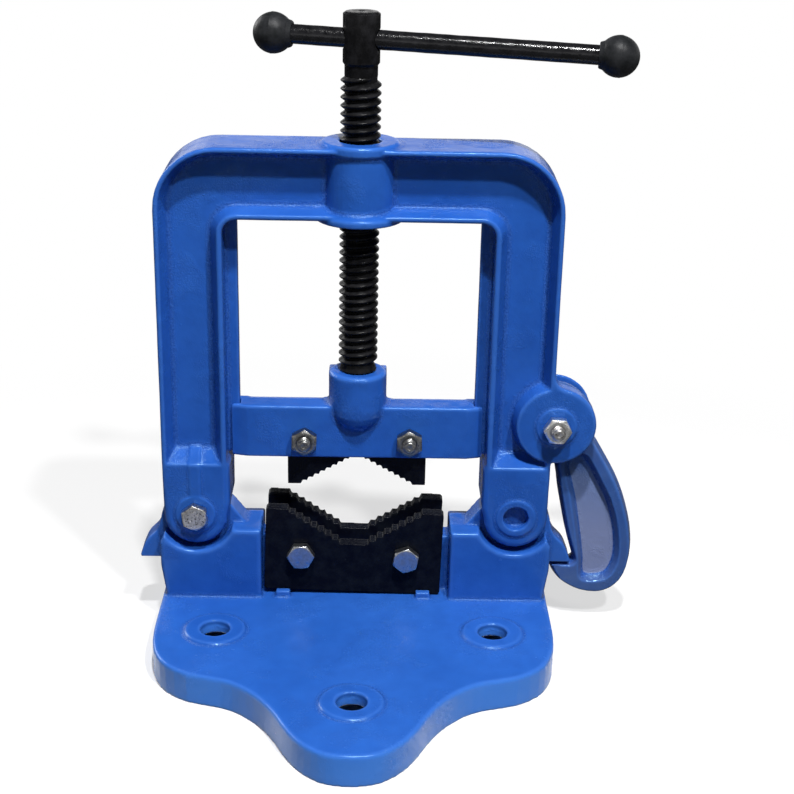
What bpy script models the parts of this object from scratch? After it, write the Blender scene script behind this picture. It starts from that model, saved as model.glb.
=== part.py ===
"""Hinged bench pipe vise. Metres, Z up, X to the right, Y away from the front.

The origin is on the floor straight below the feed screw.
"""

import math

import bmesh
import bpy
from mathutils import Matrix, Vector

MM = 0.001

# Fits shared by all pieces
piece_gap = 0.3 * MM
running_gap = 0.4 * MM
cut_past = 1.0 * MM
join_depth = 0.6 * MM
merge_distance = 0.01 * MM

# Fasteners
bolt_radius = 4.0 * MM
bolt_hole_gap = 0.4 * MM
nut_bore_gap = 0.25 * MM
hex_across_flats = 14.0 * MM
hex_chamfer = math.radians(30.0)
hex_face_share = 0.49
hex_head_height = 5.3 * MM
hex_nut_height = 6.5 * MM
bolt_end_chamfer = 0.8 * MM
bolt_stand_out = 3.2 * MM
bolt_hole_radius = bolt_radius + bolt_hole_gap

# Yoke frame, from the outside in
yoke_half_width = 110.6 * MM
yoke_half_depth = 18.0 * MM
yoke_height = 213.1 * MM
yoke_corner_radius = 34.0 * MM
yoke_edge_round = 1.2 * MM
ear_edge_round = 3.2 * MM
head_depth = 38.8 * MM
window_half_width = 73.9 * MM
window_corner_radius = 8.0 * MM
web_half_thickness = 7.0 * MM
outer_rim = 2.4 * MM
inner_rim = 2.8 * MM
outer_draft = 4.0 * MM
inner_draft = 4.4 * MM
beam_draft = 3.0 * MM

# Ears at the feet of the yoke
ear_radius = 0.5 * (yoke_half_width - window_half_width)
ear_height = 30.9 * MM
ledge_rise = 6.9 * MM
fork_half_gap = 8.1 * MM
fork_height = 27.0 * MM
ear_drop = 1.3 * MM
ear_ring_radius = 11.2 * MM
ear_ring_height = 1.0 * MM
ear_dimple_radius = 7.4 * MM
ear_dimple_depth = 5.5 * MM
ear_rib_half_width = 3.0 * MM
ear_rib_rise = 0.7 * MM
ear_swell = 1.6 * MM
ear_swell_rise = 6.0 * MM

# Round ear that carries the latch
latch_pin_overhang = 2.0 * MM
latch_pin_rise = 26.4 * MM
disc_radius = 22.6 * MM
rear_disc_radius = disc_radius - 4.6 * MM
disc_cut_step = 0.2 * MM
disc_fillet_radius = 8.0 * MM
latch_slot_radius = disc_radius + 1.4 * MM

# Heights of the base up to the pins
base_height = 18.0 * MM
tower_rise = 43.3 * MM
pin_rise = 9.4 * MM
tower_top = base_height + tower_rise
pin_height = tower_top + pin_rise
pin_offset = yoke_half_width - ear_radius
ledge_foot = pin_height + ear_height
ledge_top = ledge_foot + ledge_rise
latch_pin_x = yoke_half_width + latch_pin_overhang
latch_pin_height = ledge_foot + latch_pin_rise
yoke_top = pin_height + yoke_height
window_top = yoke_top - head_depth

# Guide rails of the yoke
rail_reach = 7.0 * MM
rail_half_thickness = 3.5 * MM
rail_lift = 2.9 * MM
rail_foot = ledge_foot + rail_lift
rail_half_face = window_half_width - rail_reach

# Screw hub in the head of the yoke
hub_radius = 19.6 * MM
hub_disc_radius = hub_radius + 1.8 * MM
hub_disc_rise = 1.8 * MM
hub_disc_depth = 5.0 * MM
hub_disc_neck = 1.5 * MM
hub_disc_round = 1.0 * MM
hub_flare_radius = hub_radius + 7.4 * MM
hub_flare_drop = 1.5 * MM
hub_collar_radius = hub_radius + 4.7 * MM
hub_collar_drop = 2.5 * MM
hub_collar_height = 6.5 * MM
hub_collar_slope = 2.2 * MM

# Feed screw
screw_radius = 11.0 * MM
screw_head_radius = 9.9 * MM
screw_neck_radius = screw_head_radius - 1.0 * MM
screw_stand = 69.7 * MM
screw_head_top = yoke_top + screw_stand
screw_head_length = 27.0 * MM
screw_neck_length = 6.0 * MM
screw_head_chamfer = 0.9 * MM
screw_tip_radius = 7.5 * MM
screw_tip_length = 25.0 * MM
screw_groove_radius = 5.0 * MM
screw_groove_width = 5.4 * MM
screw_groove_drop = 13.0 * MM
screw_end_chamfer = 1.5 * MM

# Cross bar with its two knobs
bar_radius = 5.15 * MM
bar_hole_radius = bar_radius + 0.95 * MM
bar_drop = 14.2 * MM
bar_height = screw_head_top - bar_drop
bar_turn = math.radians(-8.0)
bar_dip = math.radians(1.6)
bar_left_reach = 47.0 * MM
bar_right_reach = 134.0 * MM
knob_radius = 11.0 * MM
knob_neck_radius = bar_radius + 1.75 * MM
knob_neck_length = 1.6 * MM
knob_neck_blend = 8.0
knob_bore_depth = 14.0 * MM

# Sliding crosshead
crosshead_side_gap = 2.5 * MM
crosshead_lift = 1.4 * MM
crosshead_half_width = window_half_width - crosshead_side_gap
crosshead_bottom = ledge_foot + crosshead_lift
crosshead_height = 31.5 * MM
crosshead_half_depth = 8.5 * MM
crosshead_edge_round = 1.0 * MM
crosshead_end_length = 9.0 * MM
crosshead_end_depth = 2.2 * MM
crosshead_step_width = 3.0 * MM
crosshead_step_drop = 0.8 * MM
boss_radius = 16.4 * MM
boss_rise = 20.0 * MM
boss_ball_height = 0.8 * MM
boss_back_depth = 12.0 * MM
boss_edge_round = 1.4 * MM
retaining_pin_radius = 1.9 * MM
retaining_pin_half_length = boss_radius - 0.8 * MM

# Upper jaw
upper_jaw_half_width = 39.8 * MM
upper_jaw_half_thickness = 4.5 * MM
upper_jaw_drop = 18.2 * MM
upper_jaw_tip = crosshead_bottom - upper_jaw_drop
upper_jaw_tip_width = 7.6 * MM
upper_jaw_vee_height = 17.9 * MM
upper_jaw_flat = 1.2 * MM
upper_tooth_pitch = 4.0 * MM
upper_tooth_depth = 1.5 * MM
upper_jaw_seat_depth = 17.6 * MM
upper_bolt_offset = 30.0 * MM
upper_bolt_rise = 11.5 * MM

# Lower jaws
tower_inside = 54.8 * MM
tower_jaw_room = 3.3 * MM
lower_jaw_centre = -1.3 * MM
lower_jaw_half_width = tower_inside - tower_jaw_room
lower_jaw_thickness = 7.5 * MM
lower_jaw_lift = 1.8 * MM
lower_jaw_bottom = base_height + lower_jaw_lift
lower_jaw_height = 52.2 * MM
lower_jaw_vee_depth = 21.2 * MM
lower_jaw_flat_width = 12.5 * MM
lower_jaw_half_floor = 5.2 * MM
lower_tooth_pitch = 5.0 * MM
lower_tooth_depth = 1.7 * MM
lower_jaw_lean = math.radians(1.5)
lower_bolt_offset = 30.6 * MM
lower_bolt_rise = 23.7 * MM
lower_corner_cut = 1.2 * MM

# Base
base_overhang = 2.4 * MM
base_half_width = yoke_half_width + base_overhang
base_front = 179.5 * MM
base_edge_round = 1.5 * MM
base_deck = 6.5 * MM
base_skirt = 6.5 * MM
base_rib_half = 5.0 * MM
bench_hole_radius = 8.25 * MM
bench_pad_radius = 16.8 * MM
bench_pad_height = 1.5 * MM
bench_pad_edge = 1.0 * MM
front_hole_margin = 48.0 * MM
side_hole_margin = 34.8 * MM
side_hole_y = 58.3 * MM
side_hole_x = base_half_width - side_hole_margin
front_hole_y = base_front - front_hole_margin
base_rib_front = front_hole_y - 35.5 * MM

# Towers of the base and the web between them
tower_half_depth = yoke_half_depth + 2.0 * MM
tower_back_drop = 4.8 * MM
tower_bulge = 0.2 * MM
tower_taper = 3.0 * MM
tower_side_x = base_half_width + tower_bulge
tower_foot_x = tower_side_x - tower_taper
tower_edge_round = 1.8 * MM
base_back = tower_half_depth + 2.0 * MM
base_wall_front = tower_half_depth + 4.0 * MM
base_wall_back = tower_half_depth - 6.0 * MM
lug_half_thickness = fork_half_gap - running_gap
lug_radius = ear_radius - 1.35 * MM
lug_ramp_foot_share = 0.47
lug_ramp_top_share = 0.824
ear_recess_gap = 4.45 * MM
ear_recess_radius = ear_radius + ear_recess_gap
horn_drop = 33.1 * MM
horn_underside = pin_height - horn_drop
web_between_half = 6.6 * MM
web_low_rise = 21.2 * MM
web_high_rise = 33.2 * MM
web_low_half = 17.0 * MM
web_high_half = 24.0 * MM
stop_lug_half_width = 4.1 * MM
stop_lug_depth = 4.5 * MM
stop_lug_height = 3.8 * MM
stop_lug_offset = 41.0 * MM

# Latch: its claw ends a small gap below the horn
latch_half_thickness = fork_half_gap - running_gap
latch_lobe_radius = disc_radius - 1.6 * MM
latch_lobe_lead = 2.0
latch_panel_half = 2.4 * MM
latch_panel_draft = 3.2 * MM
latch_draft = 1.7 * MM
latch_edge_small = 0.6 * MM
latch_hook_gap = 0.75 * MM
latch_hook_share = 0.819
latch_reach = (latch_pin_height - horn_underside + latch_hook_gap) / latch_hook_share

ROUND_STEPS = 40
SMALL_ROUND_STEPS = 20

# Front half of the base outline, right side, from the back corner to the middle of the front lobe,
# as shares of the half width and of the reach to the front
base_side_shares = (
    (0.998, 0.12),
    (1.0, 0.24),
    (0.998, 0.33),
    (0.985, 0.41),
    (0.955, 0.474),
    (0.9, 0.53),
    (0.79, 0.582),
    (0.62, 0.615),
    (0.535, 0.646),
    (0.46, 0.69),
    (0.4, 0.74),
    (0.35, 0.795),
    (0.31, 0.85),
    (0.262, 0.904),
    (0.205, 0.948),
    (0.14, 0.98),
    (0.07, 0.996),
)

# Outer contour of the horn on each tower, in the latch's measure: from the latch pin, as shares of
# the latch's reach
horn_shares = (
    (0.0054, -0.5570),
    (0.0155, -0.6109),
    (0.0344, -0.6560),
    (0.0613, -0.6846),
    (0.0872, -0.7133),
    (0.1070, -0.7529),
    (0.1251, -0.8017),
)

# Latch contour from its pin, as shares of its reach: right side down to the claw tip
latch_outer_shares = (
    (0.188, -0.063),
    (0.234, -0.136),
    (0.290, -0.231),
    (0.344, -0.330),
    (0.388, -0.433),
    (0.425, -0.551),
    (0.446, -0.656),
    (0.452, -0.748),
    (0.442, -0.845),
    (0.410, -0.926),
    (0.353, -0.982),
    (0.279, -1.006),
    (0.192, -0.996),
    (0.126, -0.968),
    (0.068, -0.928),
    (0.034, -0.879),
)
latch_claw_shares = (
    (0.015, -0.834),
    (0.020, -0.819),
)
latch_inner_shares = (
    (0.126, -0.818),
    (0.141, -0.801),
    (0.129, -0.755),
    (0.114, -0.706),
    (0.087, -0.606),
    (0.063, -0.498),
    (0.040, -0.392),
    (0.030, -0.322),
    (0.018, -0.264),
)
latch_panel_shares = (
    (0.154, -0.178),
    (0.2, -0.215),
    (0.26, -0.325),
    (0.318, -0.437),
    (0.36, -0.56),
    (0.381, -0.68),
    (0.385, -0.78),
    (0.365, -0.86),
    (0.326, -0.912),
    (0.25, -0.93),
    (0.187, -0.915),
    (0.172, -0.86),
    (0.169, -0.8),
    (0.148, -0.66),
    (0.107, -0.44),
    (0.072, -0.31),
    (0.062, -0.245),
    (0.085, -0.2),
)


# Scene
for old in list(bpy.data.objects):
    bpy.data.objects.remove(old, do_unlink=True)
for old in list(bpy.data.collections):
    bpy.data.collections.remove(old)

vise = bpy.data.collections.new("pipe_vise")
bpy.context.scene.collection.children.link(vise)
helpers = bpy.data.collections.new("formers_and_cutters")
bpy.context.scene.collection.children.link(helpers)
helpers.hide_render = True


def material(name, colour, rough, metal):
    made = bpy.data.materials.new(name)
    made.use_nodes = True
    shader = made.node_tree.nodes["Principled BSDF"]
    shader.inputs["Base Color"].default_value = (*colour, 1.0)
    shader.inputs["Roughness"].default_value = rough
    shader.inputs["Metallic"].default_value = metal
    made.diffuse_color = (*colour, 1.0)
    return made


BLUE = (0.028, 0.105, 0.42)
blue_base = material("blue_enamel_base", BLUE, 0.38, 0.0)
blue_yoke = material("blue_enamel_yoke", BLUE, 0.36, 0.0)
blue_crosshead = material("blue_enamel_crosshead", BLUE, 0.37, 0.0)
blue_latch = material("blue_enamel_latch", BLUE, 0.34, 0.0)
black_screw = material("black_oxide_screw", (0.012, 0.012, 0.013), 0.3, 0.6)
black_bar = material("black_oxide_bar", (0.014, 0.014, 0.015), 0.28, 0.6)
black_jaw = material("black_oxide_jaw", (0.01, 0.01, 0.013), 0.42, 0.5)
black_knob = material("black_knob", (0.02, 0.021, 0.023), 0.5, 0.0)
zinc = material("zinc_plate", (0.55, 0.56, 0.57), 0.32, 1.0)
pin_steel = material("bright_steel_pin", (0.42, 0.42, 0.41), 0.4, 1.0)


def add_object(name, mesh, kind, is_helper):
    made = bpy.data.objects.new(name, mesh)
    if is_helper:
        helpers.objects.link(made)
        made.hide_render = True
        made.display_type = "WIRE"
    else:
        vise.objects.link(made)
        made.data.materials.append(kind)
    return made


def from_bmesh(name, shape, kind=None):
    bmesh.ops.recalc_face_normals(shape, faces=shape.faces)
    mesh = bpy.data.meshes.new(name)
    shape.to_mesh(mesh)
    shape.free()
    return add_object(name, mesh, kind, kind is None)


def ring_stack(name, rings, kind=None):
    """A closed body through a stack of rings that have equal counts of points."""
    shape = bmesh.new()
    rows = [[shape.verts.new(point) for point in ring] for ring in rings]
    count = len(rings[0])
    for lower, upper in zip(rows, rows[1:]):
        for here in range(count):
            after = (here + 1) % count
            shape.faces.new((lower[here], lower[after], upper[after], upper[here]))
    shape.faces.new(rows[0])
    shape.faces.new(rows[-1])
    return from_bmesh(name, shape, kind)


def box(name, low, high, kind=None):
    shape = bmesh.new()
    bmesh.ops.create_cube(shape, size=1.0)
    for vert in shape.verts:
        for axis in range(3):
            side = high[axis] if vert.co[axis] > 0 else low[axis]
            vert.co[axis] = side
    return from_bmesh(name, shape, kind)


def cylinder(name, start, end, radius, steps=SMALL_ROUND_STEPS, kind=None, end_radius=None):
    start = Vector(start)
    end = Vector(end)
    along = end - start
    shape = bmesh.new()
    bmesh.ops.create_cone(
        shape,
        cap_ends=True,
        segments=steps,
        radius1=radius,
        radius2=radius if end_radius is None else end_radius,
        depth=along.length,
    )
    turn = Vector((0, 0, 1)).rotation_difference(along.normalized()).to_matrix().to_4x4()
    bmesh.ops.transform(
        shape, matrix=Matrix.Translation((start + end) / 2) @ turn, verts=shape.verts
    )
    return from_bmesh(name, shape, kind)


def turned(name, profile, steps=ROUND_STEPS, kind=None):
    """A body of revolution about Z: the profile runs down its outer side, top to bottom."""
    mesh = bpy.data.meshes.new(name)
    looped = profile[0] == profile[-1]
    points = [(radius, 0.0, height) for radius, height in profile]
    edges = [(i, i + 1) for i in range(len(points) - 1)]
    if looped:
        points.pop()
        edges[-1] = (len(points) - 1, 0)
    mesh.from_pydata(points, edges, [])
    made = add_object(name, mesh, kind, kind is None)
    spin = made.modifiers.new("turn", "SCREW")
    spin.steps = steps
    spin.render_steps = steps
    spin.use_merge_vertices = True
    spin.merge_threshold = 0.00001
    spin.use_normal_calculate = False
    return made


def combine(target, operation, *others):
    for other in others:
        step = target.modifiers.new(operation.lower(), "BOOLEAN")
        step.operation = operation
        step.solver = "EXACT"
        step.object = other
    return target


def cut(target, *cutters):
    return combine(target, "DIFFERENCE", *cutters)


def join(target, *formers):
    return combine(target, "UNION", *formers)


def smooth_shading(made, angle=40.0):
    """Rounded faces shade smoothly, sharp edges stay sharp."""
    graph = bpy.context.evaluated_depsgraph_get()
    mesh = bpy.data.meshes.new_from_object(made.evaluated_get(graph))
    made.modifiers.clear()
    made.data = mesh
    mesh.shade_smooth()
    mesh.set_sharp_from_angle(angle=math.radians(angle))
    return made


def arc(centre_x, centre_z, radius, start, end, steps):
    """Points of an arc in the X Z plane, angles in degrees."""
    points = []
    for i in range(steps + 1):
        angle = math.radians(start + (end - start) * i / steps)
        points.append((centre_x + radius * math.cos(angle), centre_z + radius * math.sin(angle)))
    return points


def soft_curve(points, steps, closed=False):
    """A smooth run through the given points."""
    made = []
    count = len(points)
    last = count if closed else count - 1
    for i in range(last):
        if closed:
            a, b, c, d = (points[(i + k) % count] for k in (-1, 0, 1, 2))
        else:
            a = points[max(i - 1, 0)]
            b = points[i]
            c = points[i + 1]
            d = points[min(i + 2, count - 1)]
        for step in range(steps):
            t = step / steps
            made.append(
                tuple(
                    0.5
                    * (
                        2 * q
                        + (r - p) * t
                        + (2 * p - 5 * q + 4 * r - s) * t * t
                        + (3 * q - p - 3 * r + s) * t * t * t
                    )
                    for p, q, r, s in zip(a, b, c, d)
                )
            )
    if not closed:
        made.append(points[-1])
    return made


def signed_area(points):
    return 0.5 * sum(
        a[0] * b[1] - b[0] * a[1] for a, b in zip(points, points[1:] + points[:1])
    )


def inset(points, amounts):
    """The outline moved inwards, each point by its own amount."""
    turn = 1.0 if signed_area(points) > 0 else -1.0
    moved = []
    count = len(points)
    for i, here in enumerate(points):
        before = Vector(points[i - 1])
        after = Vector(points[(i + 1) % count])
        here = Vector(here)
        first = (here - before).normalized()
        second = (after - here).normalized()
        normal_a = Vector((-first.y, first.x)) * turn
        normal_b = Vector((-second.y, second.x)) * turn
        middle = normal_a + normal_b
        middle.normalize()
        reach = amounts[i] / max(middle.dot(normal_a), 0.5)
        moved.append(tuple(here + middle * reach))
    return moved


def upright(points, y):
    return [Vector((x, y, z)) for x, z in points]


def flat(points, z):
    return [Vector((x, y, z)) for x, y in points]


def rounded_slab(name, outline, place, low, high, round_low, round_high, kind=None):
    """A slab of one outline, its rims rounded. Each rounding is one size or one for each point."""
    count = len(outline)
    low_sizes = list(round_low) if isinstance(round_low, (list, tuple)) else [round_low] * count
    high_sizes = list(round_high) if isinstance(round_high, (list, tuple)) else [round_high] * count
    shape_of = upright if place == "upright" else flat
    rings = []
    normal = Vector((0, 1, 0)) if place == "upright" else Vector((0, 0, 1))

    def ring(base, sizes, in_share, rise_share, sign):
        made = shape_of(inset(outline, [size * in_share for size in sizes]), base)
        return [p + normal * (sign * rise_share * s) for p, s in zip(made, sizes)]

    if any(low_sizes):
        rings.append(ring(low, low_sizes, 1.0, 0.0, 1.0))
        rings.append(ring(low, low_sizes, 0.3, 0.3, 1.0))
    rings.append(ring(low, low_sizes, 0.0, 1.0, 1.0))
    rings.append(ring(high, high_sizes, 0.0, 1.0, -1.0))
    if any(high_sizes):
        rings.append(ring(high, high_sizes, 0.3, 0.3, -1.0))
        rings.append(ring(high, high_sizes, 1.0, 0.0, -1.0))
    return ring_stack(name, rings, kind)


def prism(name, outline, low, high, kind=None):
    """A plate with one outline in the X Z plane, between two depths."""
    drawing = bpy.data.curves.new(name + "_outline", "CURVE")
    drawing.dimensions = "2D"
    drawing.fill_mode = "BOTH"
    drawing.extrude = (high - low) / 2
    run = drawing.splines.new("POLY")
    run.points.add(len(outline) - 1)
    for point, (x, z) in zip(run.points, outline):
        point.co = (x, z, 0.0, 1.0)
    run.use_cyclic_u = True
    drawn = bpy.data.objects.new(name + "_outline", drawing)
    drawn.rotation_euler = (math.radians(90.0), 0.0, 0.0)
    drawn.location = (0.0, (low + high) / 2, 0.0)
    helpers.objects.link(drawn)
    bpy.context.view_layer.update()
    graph = bpy.context.evaluated_depsgraph_get()
    mesh = bpy.data.meshes.new_from_object(drawn.evaluated_get(graph))
    shape = bmesh.new()
    shape.from_mesh(mesh)
    bmesh.ops.remove_doubles(shape, verts=shape.verts, dist=merge_distance)
    made = from_bmesh(name, shape, kind)
    made.matrix_world = drawn.matrix_world.copy()
    bpy.data.objects.remove(drawn, do_unlink=True)
    return made


def mirrored(points):
    return [(-x, z) for x, z in reversed(points)]


# Base casting
side = [(x * base_half_width, -y * base_front) for x, y in base_side_shares]
front_run = soft_curve([(base_half_width, 0.0)] + side + [(0.0, -base_front)], 2)
right_half = [(base_half_width, base_back)] + front_run[:-1]
base_outline = [(0.0, -base_front)] + mirrored(right_half) + right_half
base = rounded_slab(
    "base", base_outline, "flat", 0.0, base_height, 0.0, base_edge_round, blue_base
)

lug_span = pin_offset - lug_radius - tower_inside
horn_line = [
    (latch_pin_x + x * latch_reach, latch_pin_height + z * latch_reach)
    for x, z in soft_curve(horn_shares, 2)
]
lug_right = (
    [(tower_inside, base_height - join_depth), (tower_inside, tower_top)]
    + [
        (tower_inside + lug_ramp_foot_share * lug_span, tower_top),
        (tower_inside + lug_ramp_top_share * lug_span, pin_height),
    ]
    + arc(pin_offset, pin_height, lug_radius, 165, 10, 9)
    + horn_line
    + [
        (horn_line[-1][0], horn_underside),
        (tower_side_x, horn_underside),
        (tower_foot_x, base_height - join_depth),
    ]
)
recess_end = math.degrees(math.acos(ear_radius / ear_recess_radius))
recess_start = 180 - math.degrees(math.asin((pin_height - tower_top) / ear_recess_radius))
slab_right = (
    [(tower_inside, base_height - join_depth), (tower_inside, tower_top)]
    + arc(pin_offset, pin_height, ear_recess_radius, -recess_start, -recess_end, 12)
    + [
        (tower_side_x, pin_height - ear_radius),
        (tower_side_x, horn_underside),
        (tower_foot_x, base_height - join_depth),
    ]
)
back_slope = [
    (lug_half_thickness, tower_top),
    (tower_half_depth + cut_past, tower_top - tower_back_drop),
    (tower_half_depth + cut_past, tower_top + cut_past),
    (lug_half_thickness, tower_top + cut_past),
]
for name, turn_side in (("right", 1.0), ("left", -1.0)):
    lug_line = lug_right if turn_side > 0 else mirrored(lug_right)
    slab_line = slab_right if turn_side > 0 else mirrored(slab_right)
    join(base, prism("lug_" + name, lug_line, -lug_half_thickness, lug_half_thickness))
    front_slab = rounded_slab(
        "tower_front_" + name,
        slab_line,
        "upright",
        -tower_half_depth,
        -lug_half_thickness + join_depth,
        tower_edge_round,
        0.0,
    )
    back_slab = rounded_slab(
        "tower_back_" + name,
        slab_line,
        "upright",
        lug_half_thickness - join_depth,
        tower_half_depth,
        0.0,
        tower_edge_round,
    )
    slope_low = turn_side * (tower_inside - cut_past)
    slope_high = turn_side * (tower_side_x + cut_past)
    slope = ring_stack(
        "back_slope_" + name,
        [[Vector((x, y, z)) for y, z in back_slope] for x in (slope_low, slope_high)],
    )
    cut(back_slab, slope)
    join(base, front_slab, back_slab)

web_low_top = lower_jaw_bottom + web_low_rise
web_high_top = lower_jaw_bottom + web_high_rise
web_outline = [
    (-tower_inside - join_depth, base_height - join_depth),
    (tower_inside + join_depth, base_height - join_depth),
    (tower_inside + join_depth, web_high_top),
    (web_high_half, web_high_top),
    (web_low_half, web_low_top),
    (-web_low_half, web_low_top),
    (-web_high_half, web_high_top),
    (-tower_inside - join_depth, web_high_top),
]
join(base, prism("jaw_web", web_outline, -web_between_half, web_between_half))

lower_face = web_between_half + piece_gap
lower_front = lower_face + lower_jaw_thickness
for name, offset in (("left", -stop_lug_offset), ("right", stop_lug_offset)):
    middle = lower_jaw_centre + offset
    join(
        base,
        box(
            "stop_lug_" + name,
            (
                middle - stop_lug_half_width,
                -lower_front - running_gap - stop_lug_depth,
                base_height - join_depth,
            ),
            (
                middle + stop_lug_half_width,
                -lower_front - running_gap,
                base_height + stop_lug_height,
            ),
        ),
    )

bench_holes = (
    ("left", -side_hole_x, -side_hole_y),
    ("right", side_hole_x, -side_hole_y),
    ("front", 0.0, -front_hole_y),
)
for name, x, y in bench_holes:
    join(
        base,
        cylinder(
            "bench_pad_" + name,
            (x, y, base_height - join_depth),
            (x, y, base_height + bench_pad_height),
            bench_pad_radius + bench_pad_edge,
            ROUND_STEPS,
            end_radius=bench_pad_radius,
        ),
    )

cavity_outline = inset(base_outline, [base_skirt] * len(base_outline))
cavity = rounded_slab(
    "base_cavity", cavity_outline, "flat", -cut_past, base_height - base_deck, 0.0, 0.0
)
cut(
    cavity,
    box(
        "middle_rib",
        (-base_rib_half, -base_rib_front, -2 * cut_past),
        (base_rib_half, base_back, base_height),
    ),
    box(
        "cross_rib",
        (-base_half_width, -base_wall_front, -2 * cut_past),
        (base_half_width, -base_wall_back, base_height),
    ),
)
cut(base, cavity)
for name, x, y in bench_holes:
    cut(
        base,
        cylinder(
            "bench_hole_" + name,
            (x, y, -cut_past),
            (x, y, base_height + 2 * bench_pad_height),
            bench_hole_radius,
            ROUND_STEPS,
        ),
    )


def lean_point(x, z):
    """A point of the lower jaw set, leaned about the middle of its bolts."""
    bolt_height = lower_jaw_bottom + lower_bolt_rise
    c = math.cos(-lower_jaw_lean)
    s = math.sin(-lower_jaw_lean)
    dx = x
    dz = z - bolt_height
    return (lower_jaw_centre + c * dx - s * dz, bolt_height + s * dx + c * dz)


lower_bolt_places = []
for offset in (-lower_bolt_offset, lower_bolt_offset):
    lower_bolt_places.append(lean_point(offset, lower_jaw_bottom + lower_bolt_rise))
for name, (x, z) in zip(("left", "right"), lower_bolt_places):
    cut(
        base,
        cylinder(
            "web_hole_" + name,
            (x, -web_between_half - cut_past, z),
            (x, web_between_half + cut_past, z),
            bolt_hole_radius,
        ),
    )
cut(
    base,
    cylinder(
        "hinge_lug_hole",
        (-pin_offset, -tower_half_depth, pin_height),
        (-pin_offset, tower_half_depth, pin_height),
        bolt_hole_radius,
    ),
)
smooth_shading(base)


# Yoke casting
fillet_x = yoke_half_width + disc_fillet_radius
fillet_rise = math.sqrt(
    (disc_radius + disc_fillet_radius) ** 2 - (fillet_x - latch_pin_x) ** 2
)
fillet_z = latch_pin_height + fillet_rise
fillet_end = math.degrees(math.atan2(-fillet_rise, latch_pin_x - fillet_x))
disc_start = 180 + fillet_end
disc_end = -math.degrees(
    math.acos((yoke_half_width - latch_pin_x) / disc_radius)
)

corner_x = yoke_half_width - yoke_corner_radius
corner_z = yoke_top - yoke_corner_radius
inner_corner_x = window_half_width - window_corner_radius
inner_corner_z = window_top - window_corner_radius

ear_steps = 12
ear_shoulder = ledge_foot
swell_x = window_half_width - ear_swell
swell_line = [
    (swell_x, pin_height + ear_swell_rise),
    (swell_x, ear_shoulder - ear_swell),
    (window_half_width, ear_shoulder + ear_swell),
]
right_ear = arc(pin_offset, pin_height - ear_drop, ear_radius, 0, -180, ear_steps)
left_ear = mirrored(right_ear)
yoke_outline = (
    left_ear
    + [(-yoke_half_width, ear_shoulder)]
    + arc(-corner_x, corner_z, yoke_corner_radius, 180, 90, 10)
    + arc(corner_x, corner_z, yoke_corner_radius, 90, 0, 10)
    + arc(fillet_x, fillet_z, disc_fillet_radius, 180, 360 + fillet_end, 4)
    + arc(latch_pin_x, latch_pin_height, disc_radius, disc_start, disc_end, 20)[1:]
    + [(yoke_half_width, ear_shoulder)]
    + right_ear
    + swell_line
    + arc(inner_corner_x, inner_corner_z, window_corner_radius, 0, 90, 5)
    + arc(-inner_corner_x, inner_corner_z, window_corner_radius, 90, 180, 5)
    + mirrored(swell_line)
)
yoke_rounds = [
    ear_edge_round if z < ear_shoulder else yoke_edge_round
    for _, z in yoke_outline
]
yoke = rounded_slab(
    "yoke",
    yoke_outline,
    "upright",
    -yoke_half_depth,
    yoke_half_depth,
    yoke_rounds,
    yoke_rounds,
    blue_yoke,
)


def recess_line(rim_out, rim_in, rim_beam, foot):
    """The recess between the two flanges, round the frame: one leg, the beam, the other leg."""
    x_out = yoke_half_width - rim_out
    z_out = yoke_top - rim_out
    x_in = window_half_width + rim_in
    z_in = window_top + rim_beam
    r_out = yoke_corner_radius - rim_out
    r_in = window_corner_radius + rim_in
    return (
        [(-x_out, foot)]
        + arc(-x_out + r_out, z_out - r_out, r_out, 180, 90, 10)
        + arc(x_out - r_out, z_out - r_out, r_out, 90, 0, 10)
        + [(x_out, foot), (x_in, foot)]
        + arc(x_in - r_in, z_in - r_in, r_in, 0, 90, 6)
        + arc(-x_in + r_in, z_in - r_in, r_in, 90, 180, 6)
        + [(-x_in, foot)]
    )


rim_line = recess_line(outer_rim, inner_rim, inner_rim, ledge_foot)
web_line = recess_line(
    outer_rim + outer_draft, inner_rim + inner_draft, inner_rim + beam_draft, ledge_top
)
recess_depth = yoke_half_depth - web_half_thickness
past_share = cut_past / recess_depth
past_line = [
    (a[0] + (a[0] - b[0]) * past_share, a[1] + (a[1] - b[1]) * past_share)
    for a, b in zip(rim_line, web_line)
]
for name, facing in (("front", -1.0), ("back", 1.0)):
    recess = ring_stack(
        "recess_" + name,
        [
            upright(past_line, facing * (yoke_half_depth + cut_past)),
            upright(web_line, facing * web_half_thickness),
        ],
    )
    cut(
        recess,
        cylinder(
            "disc_keep_" + name,
            (latch_pin_x, facing * web_half_thickness / 2, latch_pin_height),
            (latch_pin_x, facing * (yoke_half_depth + 3 * cut_past), latch_pin_height),
            disc_radius + inner_rim,
            ROUND_STEPS,
            end_radius=disc_radius - join_depth,
        ),
    )
    cut(yoke, recess)

hub_bore_radius = screw_radius + running_gap
hub_profile = [
    (hub_bore_radius, yoke_top + hub_disc_rise),
    (hub_disc_radius - hub_disc_round, yoke_top + hub_disc_rise),
    (hub_disc_radius, yoke_top + hub_disc_rise - hub_disc_round),
    (hub_disc_radius, yoke_top + hub_disc_rise - hub_disc_depth),
    (hub_radius, yoke_top + hub_disc_rise - hub_disc_depth - hub_disc_neck),
    (hub_radius, window_top + hub_collar_height - hub_collar_drop),
    (
        hub_collar_radius - hub_disc_round,
        window_top + hub_collar_height - hub_collar_drop - hub_collar_slope,
    ),
    (
        hub_collar_radius,
        window_top + hub_collar_height - hub_collar_drop - hub_collar_slope - hub_disc_round,
    ),
    (hub_collar_radius, window_top - hub_collar_drop),
    (hub_bore_radius, window_top - hub_collar_drop),
    (hub_bore_radius, yoke_top + hub_disc_rise),
]
hub = turned("hub", hub_profile)
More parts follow.
